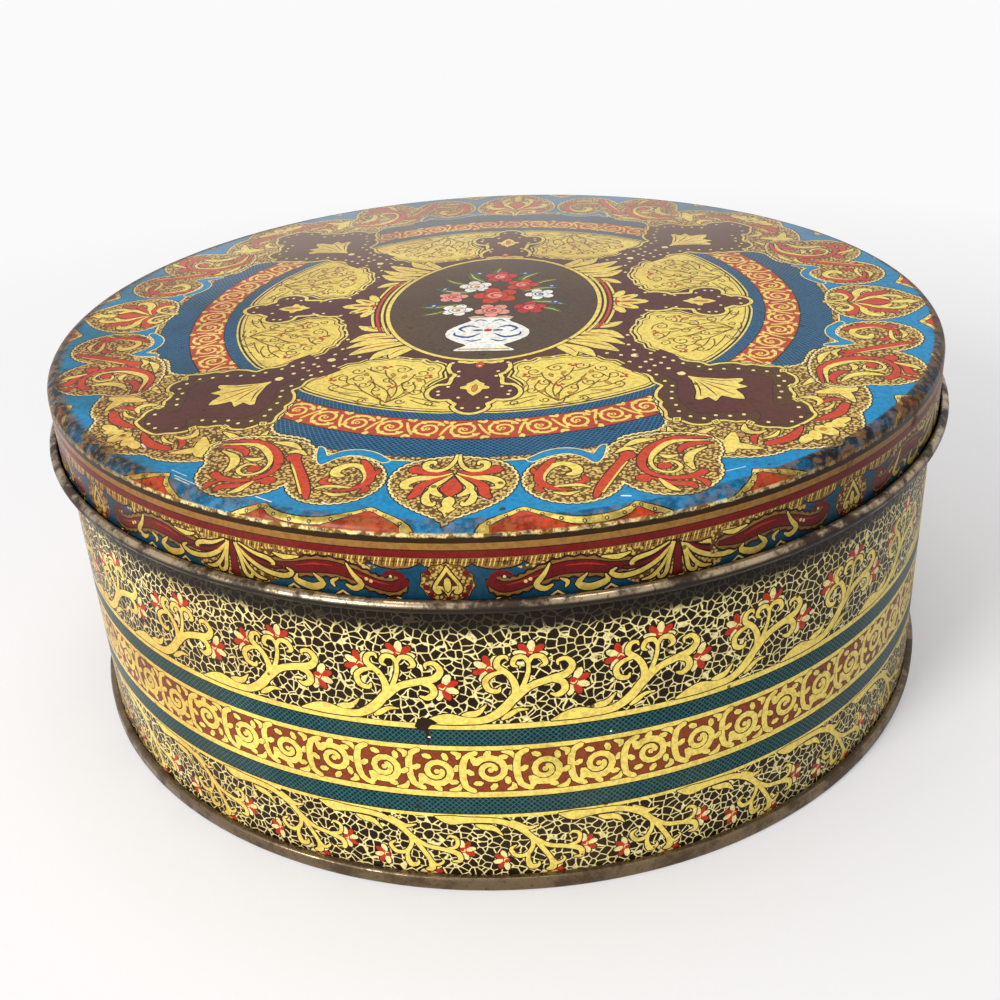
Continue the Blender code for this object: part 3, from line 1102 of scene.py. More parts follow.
def wall_reach(height):
    """Distance from the middle of the wall's sheet for a height above the floor."""
    return WALL_HOLE + PRINT_TOP - height


def on_wall(motif, along):
    return on_sheet(motif, along, WALL_R, wall_reach)


def repeated(motif, count, first=0.0):
    """The motif all round the wall, the first one a few millimetres from the front."""
    return [shape for k in range(count) for shape in on_wall(motif, first + k * wall_round / count)]


wall_motifs = repeated(placed(spray(), (SPRAY_SHIFT, UPPER_LINE)), SPRAYS)
wall_motifs += repeated(placed(hanging_spray(), (HANGING_SHIFT, LOWER_LINE)), SPRAYS)
for kind in range(len(ROSETTE_KINDS)):
    first = ROSETTE_FIRST + (kind - 1) * wall_round / ROSETTES
    wall_motifs += repeated(placed(rosette(kind), (0, ROSETTE_HEIGHT)), ROSETTES // len(ROSETTE_KINDS), first)

# a chip at the front with a dark run below it, and two bare nicks
chip = [("line", [(-1.9, 39.2), (-0.8, 38.2), (0.4, 38.5), (1.2, 39.6), (2.6, 40.2), (1.4, 41.1),
                  (-0.3, 41.5), (-1.4, 40.4)]),
        ("line", brush([(0.2, 39.0, 0.9), (0.5, 36.8, 0.6), (0.3, 34.6, 0.1)])),
        ("white", disc((0.7, 36.9), 0.3, 6, 0.7)),
        ("white", disc((34.4, 35.8), 0.24, 6))]
wall_motifs += on_wall(chip, math.radians(CHIP_TURN) * WALL_R)

wall_rings = [wall_reach(height) for height in np.arange(WALL_RING_FROM, PRINT_TOP - 1, WALL_RING_STEP)]
wall_cut = cut_sheet([(name, wall_reach(height)) for name, height in WALL_STRIPES],
                     wall_motifs, WALL_COLUMNS, wall_rings, WALL_HOLE)

# %% [markdown]
# The rest of the wall is plain: the foot with its flange hooked into the bottom seam, the inside,
# and the rim, which is rolled inwards so that no raw edge meets a finger.

# %% Body wall
STRIP_COUNT = 3
STRIP_MARGIN = 4
STRIP_WIDTH = wall_round / STRIP_COUNT + 2 * STRIP_MARGIN  # mm that fill the width of the flat map
STRIP_FOOT, STRIP_RISE = 0.005, 0.296  # on the flat map: foot of the first strip and rise to the next
ROLL_STEPS = 18
RIM_TURN = 288  # degrees from straight out to the rim's cut edge, anticlockwise in the section
INSIDE_FROM, INSIDE_STEP = 4.0, 12.0


def wall_place(reach, angle):
    """Points and normals of the wall's outside, for places on its sheet."""
    sine, cosine = np.sin(angle), -np.cos(angle)
    height = PRINT_TOP + WALL_HOLE - reach
    points = np.stack([WALL_R * sine, WALL_R * cosine, height], axis=1)
    return points, np.stack([sine, cosine, np.zeros_like(sine)], axis=1)


def wall_flat(corners):
    """The flat map for baking: the wall in three strips, one above the other."""
    reach = np.hypot(corners[..., 0], corners[..., 1])
    turn = np.mod(np.arctan2(corners[..., 0], -corners[..., 1]) / math.tau, 1.0)
    crossing = turn.max(axis=1) - turn.min(axis=1) > 0.5
    turn[crossing] = np.where(turn[crossing] < 0.5, turn[crossing] + 1, turn[crossing])
    strip = np.minimum((turn.mean(axis=1) * STRIP_COUNT).astype(int), STRIP_COUNT - 1)[:, None]
    u = ((turn - strip / STRIP_COUNT) * wall_round + STRIP_MARGIN) / STRIP_WIDTH
    v = STRIP_FOOT + strip * STRIP_RISE + (wall_reach(PRINT_FOOT) - reach) / STRIP_WIDTH
    return np.stack([u, v], axis=-1)


wall_inside = WALL_R - TINPLATE
layer = TINPLATE + SEAM_GAP
rim_r = WALL_R - BODY_ROLL
roll_room = SHOULDER - TINPLATE - SEAT_GAP - BODY_ROLL
rim_z = TOP - SHOULDER + math.sqrt(roll_room**2 - (rim_r - FLAT_R) ** 2)
hook_r = WALL_R + layer + SEAM_GAP
wall_profile = [(WALL_R, PRINT_FOOT), (WALL_R, layer + TINPLATE), (hook_r, layer + TINPLATE),
                (hook_r, SEAM_TOP - layer), (hook_r + TINPLATE, SEAM_TOP - layer),
                (hook_r + TINPLATE, layer), (wall_inside, layer)]
wall_profile += [(wall_inside, height) for height in np.arange(INSIDE_FROM, rim_z, INSIDE_STEP)]
wall_profile += bend((rim_r, rim_z), BODY_ROLL - TINPLATE, 0, RIM_TURN, ROLL_STEPS)
wall_profile += bend((rim_r, rim_z), BODY_ROLL, RIM_TURN, 0, ROLL_STEPS)
wall_profile += [(WALL_R, PRINT_TOP)]

wall_shell = Shell(WALL_COLUMNS)
wall_shell.add_sheet(wall_cut, wall_place, wall_flat)
wall_shell.turn(wall_profile, "inside_metal", wall_shell.sheet_ring(wall_reach(PRINT_FOOT)),
                wall_shell.sheet_ring(WALL_HOLE))
body_wall = wall_shell.build("printed_wall")
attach(body_wall, "body")
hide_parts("body_wall")

# %% [markdown]
# ## The lid's print
#
# The lid's ornament has four equal quarters. Each is drawn looking outwards: x runs sideways and y
# is the distance from the middle of the lid. A plum frame with small finials on the axes and large
# ones on the diagonals lies over yellow scroll fields and ring bands, and medallions stand round
# the edge. The whole print is turned a little on the tin, as it is in the photograph.

# %% Small finials, jewels and dots of the plum frame
LEAF_EDGE = ("line", 0.24)
DOT_R = 0.42


def finial():
    """The small plum finial on each axis, between two yellow fields."""
    half = [(5.4, 36.4), (5.9, 38.8), (5.1, 41.4), (4.0, 42.4), (4.6, 44.5), (5.0, 47.8), (7.4, 48.3),
            (8.7, 50.2), (8.8, 52.2), (7.9, 53.8), (6.3, 54.3), (4.6, 54.1), (3.6, 55.4), (2.5, 56.6),
            (2.9, 57.9), (2.2, 59.3), (1.0, 60.2), (0, 60.4)]
    shapes = edged([("plum", both(smooth(half, 2)))], ("line", 1.5), ("gold", 1.2), ("line", 0.3))
    shapes.append(("plum", [(-7.0, 31.5), (7.0, 31.5), (7.0, 35.6), (5.9, 37.6), (-5.9, 37.6), (-7.0, 35.6)]))
    jewel = [(0, 45.0), (0.9, 46.4), (1.9, 47.2), (1.8, 48.0), (3.0, 48.7), (2.9, 49.6), (1.7, 49.9),
             (1.4, 51.0), (0.8, 52.0), (0, 53.0)]
    shapes += edged([("gold", both(smooth(jewel, 2)))], LEAF_EDGE)
    shapes += edged([("amber", petal((0, 47.6), 90, 3.6, 1.1))], ("bud", 0.15))
    spots = [(4.2, 41.0), (4.0, 43.4), (5.6, 48.6), (7.4, 50.8), (7.2, 52.4), (2.9, 53.8), (1.6, 58.6),
             (6.0, 36.4)]
    return shapes + mirrored(dots(spots, DOT_R))


def diagonal_finial():
    """The large plum finial on each diagonal: a lobed gold line, a brown border with dots, plum."""
    half = [(5.2, 52.0), (5.0, 54.5), (5.4, 57.2), (6.7, 59.2), (6.9, 61.7), (9.3, 62.7), (11.6, 64.5),
            (12.4, 66.7), (13.8, 67.7), (15.0, 70.2), (16.8, 72.2), (15.6, 74.5), (15.2, 76.8), (13.5, 78.5),
            (11.2, 78.8), (9.5, 80.0), (8.5, 81.7), (7.1, 82.7), (6.9, 85.2), (6.3, 87.0), (4.9, 88.6),
            (4.0, 90.1), (2.5, 90.6), (0, 90.8)]
    inner = [(0, 52.0), (3.2, 52.4), (3.0, 57.5), (3.3, 61.3), (4.4, 63.5), (6.8, 65.1), (8.6, 67.3),
             (10.2, 69.6), (11.1, 72.6), (10.8, 75.2), (7.9, 77.2), (4.8, 79.8), (2.6, 81.8), (3.3, 83.6),
             (5.3, 84.6), (5.3, 87.0), (3.6, 88.7), (2.1, 89.6), (0, 90.0)]
    outline = both(smooth(half, 3))
    shapes = edged([("brown", outline)], ("line", 1.05), ("gold", 0.75), ("line", 0.12))
    shapes += edged([("plum", both(smooth(inner, 2)))], ("line", 0.2))
    shapes.append(("plum", [(-6.4, 48.5), (6.4, 48.5), (6.4, 52.6), (5.0, 55.8), (-5.0, 55.8), (-6.4, 52.6)]))
    spots = [(4.1, 57.0), (5.2, 60.4), (5.8, 63.0), (8.0, 64.8), (10.2, 66.8), (11.8, 69.4), (13.4, 71.6),
             (13.4, 74.6), (12.2, 76.9), (9.6, 77.6), (7.8, 79.6), (5.4, 81.0), (4.6, 86.2), (1.4, 89.2)]
    shapes += mirrored(dots(spots, DOT_R))
    for x, y, turn in ((11.6, 79.4, 30), (7.2, 84.0, 60), (16.2, 73.6, 0)):
        diamond = [(name, disc((0, 0), size, 4, 0.8)) for name, size in
                   (("line", 1.5), ("gold", 1.2), ("line", 0.6), ("gold", 0.3))]
        shapes += mirrored(placed(diamond, (x, y), turn))
    leaf = [(0.3, 62.3), (1.0, 64.0), (2.6, 66.0), (4.4, 68.2), (7.0, 70.2), (6.2, 71.2), (4.5, 71.4),
            (4.9, 73.6), (3.0, 73.0), (2.0, 73.0), (1.3, 75.2), (0, 76.8)]
    shapes += edged([("gold", both([(0, 62.0)] + smooth(leaf, 2)))], ("line", 0.3))
    veins = strokes(
        "line", [(0.9, 64.6, 0.12), (2.8, 67.6, 0.34), (5.4, 70.2, 0.1)],
        [(0.4, 65.0, 0.12), (1.6, 69.0, 0.34), (3.0, 72.4, 0.1)])
    shapes += mirrored(veins) + strokes("bud", [(0, 65.5, 0.15), (0, 70, 0.4), (0, 74.5, 0.15)])
    return shapes + dots([(0, 60.2)], 0.95) + dots([(0, 56.6)], 0.5)


FRAME_DOTS = [(30.2, 33.0), (27.2, 31.9), (24.6, 33.6), (21.6, 31.8), (18.6, 32.6), (15.6, 33.6),
              (12.6, 34.6), (9.6, 35.3), (35.4, 36.6), (37.2, 38.6), (36.0, 41.2), (34.2, 39.4), (32.0, 36.6)]


def frame_dots():
    """Cream dots along the plum frame."""
    return mirrored(dots(FRAME_DOTS, 0.46)) + mirrored(dots([(33.2, 33.2)], 0.95))


print("finials:", len(finial()), "and", len(diagonal_finial()), "shapes")

# %% [markdown]
# The yellow fields are filled with thin brown stems that curl at their ends, like the scrolls in
# an old book border. Each field lies between a small and a large finial.

# %% Yellow scroll fields
FIELD_EDGE = [(8.7, 41.3), (8.2, 38.8), (9.6, 37.2), (11.6, 37.0), (12.9, 35.5), (15.2, 35.3), (17.2, 34.4),
              (19.8, 34.0), (22.2, 34.8), (24.6, 35.0), (26.0, 36.6), (28.4, 37.0), (29.8, 38.8),
              (32.0, 39.8), (32.4, 42.0), (34.6, 43.8), (36.3, 46.4)]
FIELD_CLOSE = [(3.2, 59.2), (5.6, 54.8), (7.4, 53.6), (10.6, 51.6), (11.2, 48.6), (9.9, 45.6), (8.2, 43.6)]
FIELD_FOOT = (17.5, 55.6)
FIELD_STEMS = [
    [FIELD_FOOT, (16.2, 51), (16.9, 46.5), (19.4, 42.5), (20.2, 39.5)],
    [FIELD_FOOT, (14.2, 52.4), (12.4, 49.2), (13.4, 46.0)],
    [FIELD_FOOT, (20.8, 52.4), (23.6, 49.4), (25.8, 45.6)],
    [FIELD_FOOT, (17.9, 50.5), (21.4, 46.2), (22.9, 42.6)],
    [FIELD_FOOT, (15.6, 53.2), (14.4, 50.4), (15.4, 47.8), (14.8, 45.4)],
    [FIELD_FOOT, (19.2, 53.6), (21.4, 50.4), (21.0, 47.6), (22.4, 45.2)],
    [FIELD_FOOT, (17.0, 53.0), (18.2, 50.0), (17.2, 47.4), (18.6, 45.0), (17.6, 42.4)],
    [(16.6, 48.5), (14.3, 45.0), (13.4, 42.0)], [(23.0, 50.0), (27.4, 48.4), (31.0, 45.4)],
    [(13.0, 53.0), (9.8, 54.6), (6.4, 56.2)], [(21.5, 53.5), (24.5, 52.4), (28.2, 50.6)],
    [(19.6, 41.4), (22.4, 40.2), (24.4, 38.4)], [(13.8, 43.8), (11.4, 44.6), (10.6, 46.6)],
    [(25.2, 47.0), (27.4, 45.6), (27.8, 42.8)], [(24.0, 50.6), (27.0, 50.6), (30.4, 49.0)],
    [(12.6, 54.6), (9.6, 56.8), (6.8, 57.6)], [(18.2, 37.2), (16.0, 37.8), (14.2, 39.8)],
    [(29.0, 41.2), (30.6, 42.6), (30.2, 44.4)], [(19.0, 53.4), (18.0, 57.0), (14.0, 57.4)],
    [(17.4, 56.4), (21.4, 56.6), (24.4, 54.4)],
]
FIELD_CURLS = [  # centre, radius, start and turn in degrees
    (14.6, 46.6, 1.7, 200, -430), (12.0, 41.6, 1.9, 20, 430), (16.4, 39.4, 1.8, 200, -430),
    (21.8, 38.4, 1.9, -20, 430), (18.9, 44.6, 1.4, 180, -400), (25.0, 43.6, 2.0, 220, 430),
    (23.6, 46.8, 1.5, 200, -430), (28.4, 43.0, 1.8, 180, -430), (29.6, 47.6, 1.5, 90, -430),
    (12.0, 50.8, 1.5, 0, 430), (20.4, 49.2, 1.4, 180, 430), (26.2, 39.8, 1.6, 200, -400),
    (8.8, 56.4, 1.1, 90, 400), (14.8, 55.2, 1.1, 180, -400), (22.8, 54.4, 1.0, 180, 400),
    (10.2, 39.4, 1.0, 100, -360),
]
FIELD_LEAVES = [(12.6, 44.2, 120), (15.2, 42.4, 70), (18.4, 41.2, 110), (22.0, 44.2, 60), (26.6, 46.4, 40),
                (17.2, 53.0, 90), (19.4, 51.4, 60), (14.6, 50.2, 120), (10.6, 48.2, 130), (24.2, 40.6, 110)]
FIELD_BUDS = [(10.8, 43.2, 150), (20.0, 37.4, 90), (30.4, 43.4, 40), (17.4, 47.4, 95)]
FIELD_OUT = 59.4
FIELD_RIM = ((36.3, 46.4), (3.0, 57.5))  # the directions between which the rim runs
RIM_STEPS = 16
STEM_WIDTH = 0.34


def field():
    """The yellow field at the right of an axis."""
    start, end = (math.atan2(x, y) for x, y in FIELD_RIM)
    angles = [start + (end - start) * k / RIM_STEPS for k in range(1, RIM_STEPS + 1)]
    rim = [(FIELD_OUT * math.sin(angle), FIELD_OUT * math.cos(angle)) for angle in angles]
    outline = smooth(FIELD_EDGE, 2) + rim + smooth(FIELD_CLOSE, 2)
    shapes = edged([("field", outline)], ("gold", 1.75), ("line", 1.35), ("gold", 0.85), ("line", 0.22))
    for stem in FIELD_STEMS:
        shapes += strokes("olive", [(x, y, STEM_WIDTH) for x, y in stem])
    for x, y, radius, start, turn in FIELD_CURLS:
        shapes.append(("olive", whorl((x, y), radius, 0.35, start, turn, (STEM_WIDTH, STEM_WIDTH), 12)))
    for x, y, heading in FIELD_LEAVES:
        shapes += edged([("amber", petal((x, y), heading, 1.9, 0.9, 6))], ("olive", 0.12))
    for x, y, heading in FIELD_BUDS:
        bud = [("bud", petal((0, 0), spread, length, width, 7))
               for spread, length, width in ((0, 1.6, 1.1), (60, 1.4, 0.9), (-60, 1.4, 0.9))]
        shapes += placed(bud + [("gold", disc((0.2, 0), 0.4, 6))], (x, y), heading)
    return shapes


print("one field has", len(field()), "shapes")

# %% [markdown]
# The medallions round the edge have a scalloped cream border and a stippled ground, with leaves in
# red and gold that curl like acanthus. Neighbouring grounds run into each other, so the borders of
# a group are laid down first and all its grounds after them.

# %% Medallions
LOBE_PITCH = 1.5
LOBE_POINTS = 3
LOBE_DIP, LOBE_RISE = -0.12, 0.22


def ground(*outlines):
    """Stippled grounds that run into each other, inside one scalloped cream border."""
    edges = []
    for outline in outlines:
        spots, walked = [], 0.0
        for a, b in zip(outline, outline[1:] + outline[:1]):
            length = math.dist(a, b)
            while walked < length:
                t = walked / length
                spots.append((a[0] + (b[0] - a[0]) * t, a[1] + (b[1] - a[1]) * t))
                walked += LOBE_PITCH / LOBE_POINTS
            walked -= length
        spots = spots[:len(spots) // LOBE_POINTS * LOBE_POINTS]
        low, high = outset(spots, LOBE_DIP), outset(spots, LOBE_RISE)
        edges.append([high[k] if k % LOBE_POINTS else low[k] for k in range(len(spots))])
    shapes = []
    for name, grow in (("line", 0.55), ("cream", 0.28), ("olive", -0.12), ("stipple", -0.26)):
        shapes += [(name, outset(edge, grow)) for edge in edges]
    return shapes


def palmette_medallion():
    """The pointed medallion on each axis, with its tip outwards."""
    half = [(0, 78.4), (4.0, 79.0), (7.6, 80.2), (10.0, 82.4), (11.2, 85.6), (11.0, 89.0), (9.8, 92.4),
            (7.8, 95.2), (5.2, 97.6), (2.4, 99.6), (0.9, 100.7), (0, 101.6)]
    side = strokes(
        "gold",
        [(0.3, 77.6, 0.5), (0.6, 80.4, 0.8), (1.9, 82.8, 0.9), (4.0, 83.4, 1.0), (5.5, 82.2, 1.2),
         (5.4, 80.6, 1.3), (4.1, 80.3, 0.9), (4.0, 81.3, 0.4)],
        [(0.5, 84.2, 0.3), (3.0, 85.8, 1.2), (6.2, 86.0, 1.9), (8.3, 87.6, 2.0), (8.3, 89.4, 1.4),
         (7.0, 89.7, 0.6)],
        [(0.3, 84.8, 0.3), (1.9, 87.2, 1.0), (3.3, 89.3, 1.4), (2.9, 91.2, 1.5), (1.6, 92.6, 0.9)],
        [(3.6, 89.8, 0.3), (4.2, 92.4, 1.2), (3.8, 94.8, 1.5), (2.6, 95.8, 0.9), (2.4, 94.6, 0.4)])
    side += strokes(
        "red", [(0.5, 83.4, 0.3), (2.8, 84.4, 1.1), (5.4, 84.1, 1.3), (7.2, 83.0, 1.6)],
        [(0.9, 85.0, 0.3), (3.6, 86.9, 1.3), (5.5, 89.0, 1.9), (6.0, 91.6, 1.8), (7.0, 93.2, 1.0)])
    side += dots([(7.3, 82.9)], 1.35, "red")
    heart = [(0, 85.6), (0.9, 87.2), (2.0, 89.8), (1.2, 91.6), (0, 93.2)]
    tip = [(0, 92.8), (0.9, 93.6), (1.1, 95.2), (0.8, 96.4), (1.5, 97.2), (0.7, 98.2), (0, 100.0)]
    middle = [("red", both(smooth(heart, 2))), ("gold", both(smooth(tip, 2)))]
    return ground(both(smooth(half, 2))) + edged(mirrored(side) + middle, LEAF_EDGE)


def flank():
    """Two scroll medallions that grow out of the leafy ground, at the right of a palmette."""
    shapes = ground(disc((21.3, 86.4), 8.7, 26), disc((38.3, 83.0), 9.2, 26),
                    smooth([(25.6, 80.8), (27.4, 78.4), (27.8, 74.6), (31.0, 71.6), (38.0, 69.2),
                            (46.0, 70.0), (48.0, 76.0), (44.0, 84.0), (32.0, 89.4)], 2, closed=True))
    leaves = strokes(
        "gold",
        [(16.4, 88.4, 0.4), (15.9, 85.6, 1.0), (17.0, 82.2, 1.3), (19.4, 80.8, 1.4), (21.7, 82.2, 1.9),
         (21.8, 84.2, 1.8), (20.2, 84.9, 0.8)],
        [(17.4, 89.6, 0.4), (19.8, 89.0, 0.8), (22.6, 88.8, 0.9), (24.4, 89.6, 0.4)],
        [(30.8, 80.0, 0.4), (28.9, 84.4, 0.8), (27.5, 88.2, 0.9), (26.6, 91.4, 0.5)],
        [(22.6, 91.0, 0.3), (20.4, 92.0, 1.1), (18.0, 91.4, 0.4)])
    leaves += strokes(
        "red",
        [(17.6, 79.3, 0.9), (16.4, 81.4, 1.5), (15.2, 84.6, 1.6), (15.6, 87.8, 1.6), (18.4, 90.2, 1.0),
         (21.4, 90.4, 0.4)], [(15.9, 84.6, 0.4), (14.4, 84.0, 1.3), (13.9, 82.6, 0.5)],
        [(16.4, 88.6, 0.5), (15.2, 90.0, 1.5), (16.2, 91.0, 0.8)],
        [(31.0, 77.4, 2.0), (29.2, 81.4, 1.6), (27.4, 86.0, 1.8), (26.0, 90.2, 1.6), (25.3, 93.2, 0.8)],
        [(22.9, 85.2, 0.4), (23.6, 87.2, 1.4), (21.6, 88.0, 0.5)])
    leaves += strokes(
        "red",
        [(46.4, 70.6, 0.4), (40.0, 70.9, 1.3), (35.6, 74.4, 1.7), (33.4, 79.4, 1.7), (34.4, 84.0, 1.2),
         (38.6, 86.4, 1.2), (42.8, 85.4, 1.6), (44.4, 83.6, 1.8)],
        [(46.6, 73.0, 0.5), (43.6, 72.8, 1.5), (41.0, 74.6, 1.5), (40.4, 76.6, 0.4)],
        [(35.0, 86.2, 0.5), (38.4, 88.2, 1.3), (41.6, 88.6, 1.8), (42.6, 90.0, 0.8)],
        [(42.4, 86.0, 0.4), (44.4, 87.8, 1.4), (44.6, 89.4, 0.5)])
    leaves += strokes(
        "gold",
        [(46.0, 71.6, 0.3), (39.6, 72.2, 1.1), (36.4, 75.6, 1.3), (35.0, 79.6, 0.8), (36.0, 83.2, 0.7),
         (38.8, 84.2, 0.7), (40.4, 82.2, 0.8), (39.2, 80.0, 0.7), (37.3, 80.4, 0.4)],
        [(45.4, 74.4, 0.4), (42.6, 76.8, 1.6), (41.8, 80.0, 1.7), (42.6, 83.0, 0.6)],
        [(40.0, 77.6, 0.4), (38.2, 78.2, 1.4), (36.8, 77.4, 0.4)],
        [(36.4, 86.6, 0.4), (38.2, 89.8, 1.4), (39.8, 91.0, 0.5)],
        [(30.4, 74.4, 0.4), (32.8, 72.4, 1.6), (36.2, 71.4, 0.5)],
        [(28.8, 76.8, 0.4), (30.6, 75.2, 1.3), (32.6, 75.6, 0.4)])
    leaves += dots([(37.5, 81.7)], 1.35, "red") + dots([(33.7, 86.4), (31.0, 77.6)], 1.5, "red")
    beak = [(13.8, 80.0), (15.2, 79.0), (17.5, 77.6), (20.4, 77.0), (23.0, 78.2), (24.6, 79.8), (25.4, 80.2),
            (26.2, 78.8), (26.7, 76.6), (26.9, 74.0), (26.0, 74.6), (25.3, 76.4), (24.7, 77.4), (23.2, 76.4),
            (21.2, 75.5), (18.4, 75.5), (15.8, 76.6), (14.0, 78.2), (12.8, 79.4)]
    shapes += edged([("sky", smooth(beak, 2, closed=True))], ("cream", 0.4), ("line", 0.12))
    return shapes + edged(leaves, LEAF_EDGE)


def diagonal_mass():
    """Leafy ground that wraps the outer end of the large finial."""
    half = [(12, 64), (16.5, 70.5), (18.6, 73.3), (22.3, 74.2), (26.2, 72.4), (29.7, 71.6), (33.6, 74.6),
            (34, 83), (27.6, 87), (23, 88.4), (21.8, 88.6), (20.2, 90.7), (17.4, 93.4), (13.8, 95.4),
            (10.7, 95.9), (8.1, 98.2), (5.2, 100.2), (2.5, 101.0), (0, 99.8)]
    leaves = strokes(
        "red", [(1.6, 91.8, 0.4), (4.5, 92.8, 1.6), (8.0, 93.2, 2.2), (11.9, 91.8, 1.7)],
        [(22.6, 74.6, 0.4), (24.6, 77.2, 1.4), (24.2, 80.4, 1.5), (26.2, 82.0, 0.6)],
        [(9.0, 88.0, 0.4), (11.6, 88.4, 1.3), (13.4, 90.2, 0.5)])
    leaves += strokes(
        "gold", [(12.6, 84.4, 1.0), (15.8, 86.6, 3.0), (18.8, 88.6, 2.2), (20.0, 87.4, 0.6)],
        [(16.6, 83.0, 0.8), (17.2, 86.0, 2.4), (15.6, 89.6, 2.2), (14.0, 92.4, 0.6)],
        [(8.4, 83.6, 0.4), (10.2, 85.2, 1.5), (9.8, 87.4, 1.2), (7.8, 88.2, 0.5)],
        [(13.6, 80.6, 0.5), (17.2, 80.4, 1.7), (20.4, 81.6, 2.0), (23.6, 83.6, 1.2)],
        [(19.8, 74.6, 0.4), (21.2, 77.2, 1.8), (20.6, 79.6, 1.2), (22.6, 81.0, 0.6)],
        [(6.2, 90.0, 0.4), (8.4, 90.6, 0.9), (10.6, 90.0, 0.4)])
    leaves += [("gold", petal((1.6, 94.2), 50, 4.4, 2.4)), ("gold", petal((3.0, 95.2), 10, 4.6, 2.4))]
    leaves += dots([(12.4, 86.0)], 0.9, "amber")
    tip = [("gold", petal((0, 93.4), 90, 5.4, 3.4)), ("amber", disc((0, 95.4), 0.8, 8))]
    return ground(both(smooth(half, 3))) + edged(mirrored(leaves) + tip, LEAF_EDGE)


RIM_ARCHES = [  # degrees from the axis and radius, along the gold border
    [(2.9, 103.4), (3.4, 102.0), (5.2, 100.0), (6.6, 98.6), (7.7, 97.4), (8.8, 98.7), (10.2, 100.2),
     (12.2, 101.6), (14.4, 101.9), (16.4, 101.7), (17.9, 101.0), (18.7, 100.0), (19.5, 101.0), (21.0, 102.4),
     (22.0, 103.4)],
    [(28.6, 103.4), (30.4, 101.8), (31.6, 100.4), (32.4, 98.7), (33.6, 100.0), (35.4, 101.6), (37.6, 103.4)],
]
ARCH_BORDER = 1.4  # width of the gold border
ARCH_ENDS = 0.8  # degrees between the ends of the border and of the red ground
ARCH_FOOT = 103.5  # radius at which the arches stand
BEAD_RISE = 0.72  # the beads lie on the middle of the border


def polar(line, rise=0.0):
    """Points from (degrees, radius), moved outwards."""
    return [turned((0, radius + rise), -degrees) for degrees, radius in line]


def arch_foot(start, end, steps=10):
    """The foot of an arch, along the edge from one angle to another."""
    return polar([(start + (end - start) * k / steps, ARCH_FOOT) for k in range(steps + 1)])


def rim_arches():
    """Red ground behind a dotted gold border with pointed arches, along the lid's edge."""
    shapes = []
    for arch in RIM_ARCHES:
        fine = smooth(arch, 2)
        first, last = fine[0][0], fine[-1][0]
        inner = [(degrees, min(radius + ARCH_BORDER, arch[0][1])) for degrees, radius in fine
                 if first + ARCH_ENDS < degrees < last - ARCH_ENDS]
        low = arch_foot(inner[-1][0], inner[0][0])
        shapes += edged([("gold", polar(fine) + arch_foot(last, first))], ("line", 0.25))
        shapes += [("line", polar(inner, -0.2) + low), ("red", polar(inner, 0.02) + low)]
        for k in range(1, len(fine) - 1, 2):
            bead = polar([fine[k]], BEAD_RISE)
            shapes += dots(bead, DOT_R, "line") + dots(bead, 0.22)
    return shapes


print("medallions:", len(palmette_medallion()), len(flank()), len(diagonal_mass()), "shapes")

# %% [markdown]
# The middle of the lid is an oval on a dark ground. It gets a bunch of garden flowers in a white
# and blue vase, in the colours that the print uses there, with gold leaf sprays in the corners
# outside the oval.

# %% Oval and its surround
OVAL_HALF = (24.8, 34.4)


def oval(grow, sides=120):
    return [((OVAL_HALF[0] + grow) * math.cos(math.tau * k / sides),
             (OVAL_HALF[1] + grow) * math.sin(math.tau * k / sides)) for k in range(sides)]


CORNER_LEAVES = [
    [(17.6, 24.4, 0.8), (21.6, 25.4, 3.0), (25.8, 27.4, 3.9), (29.6, 30.6, 0.8)],
    [(20.2, 20.6, 0.8), (23.8, 19.8, 3.0), (27.6, 20.4, 3.7), (30.8, 23.2, 0.8)],
    [(15.2, 26.4, 0.8), (17.6, 28.2, 2.8), (19.6, 30.8, 2.8), (20.2, 33.2, 0.6)],
    [(21.8, 17.2, 0.8), (25.0, 15.8, 2.6), (28.2, 15.2, 2.8), (30.6, 13.4, 0.6)],
    [(18.6, 22.8, 0.6), (22.6, 22.8, 2.1), (27.0, 23.8, 3.0), (31.0, 26.8, 0.6)],
    [(16.2, 26.0, 0.6), (19.6, 28.0, 2.0), (22.6, 30.4, 2.8), (24.6, 33.6, 0.5)],
]
CORNER_VEINS = [
    [(19.6, 24.8, 0.15), (24.4, 26.2, 0.5), (28.6, 28.6, 0.15)],
    [(22.4, 20.2, 0.15), (26.0, 20.4, 0.5), (29.0, 21.8, 0.15)],
    [(17.4, 27.2, 0.15), (19.4, 29.2, 0.4), (20.6, 31.4, 0.15)],
    [(24.0, 16.4, 0.15), (27.0, 15.2, 0.4), (28.6, 13.8, 0.15)],
]


def corner_spray():
    """Gold leaves between the oval and the corner of the plum frame."""
    leaves = strokes("gold", *CORNER_LEAVES) + dots([(26.8, 15.9), (19.6, 30.2)], 1.25, "gold")
    return edged(leaves, ("line", 0.28)) + strokes("bud", *CORNER_VEINS)


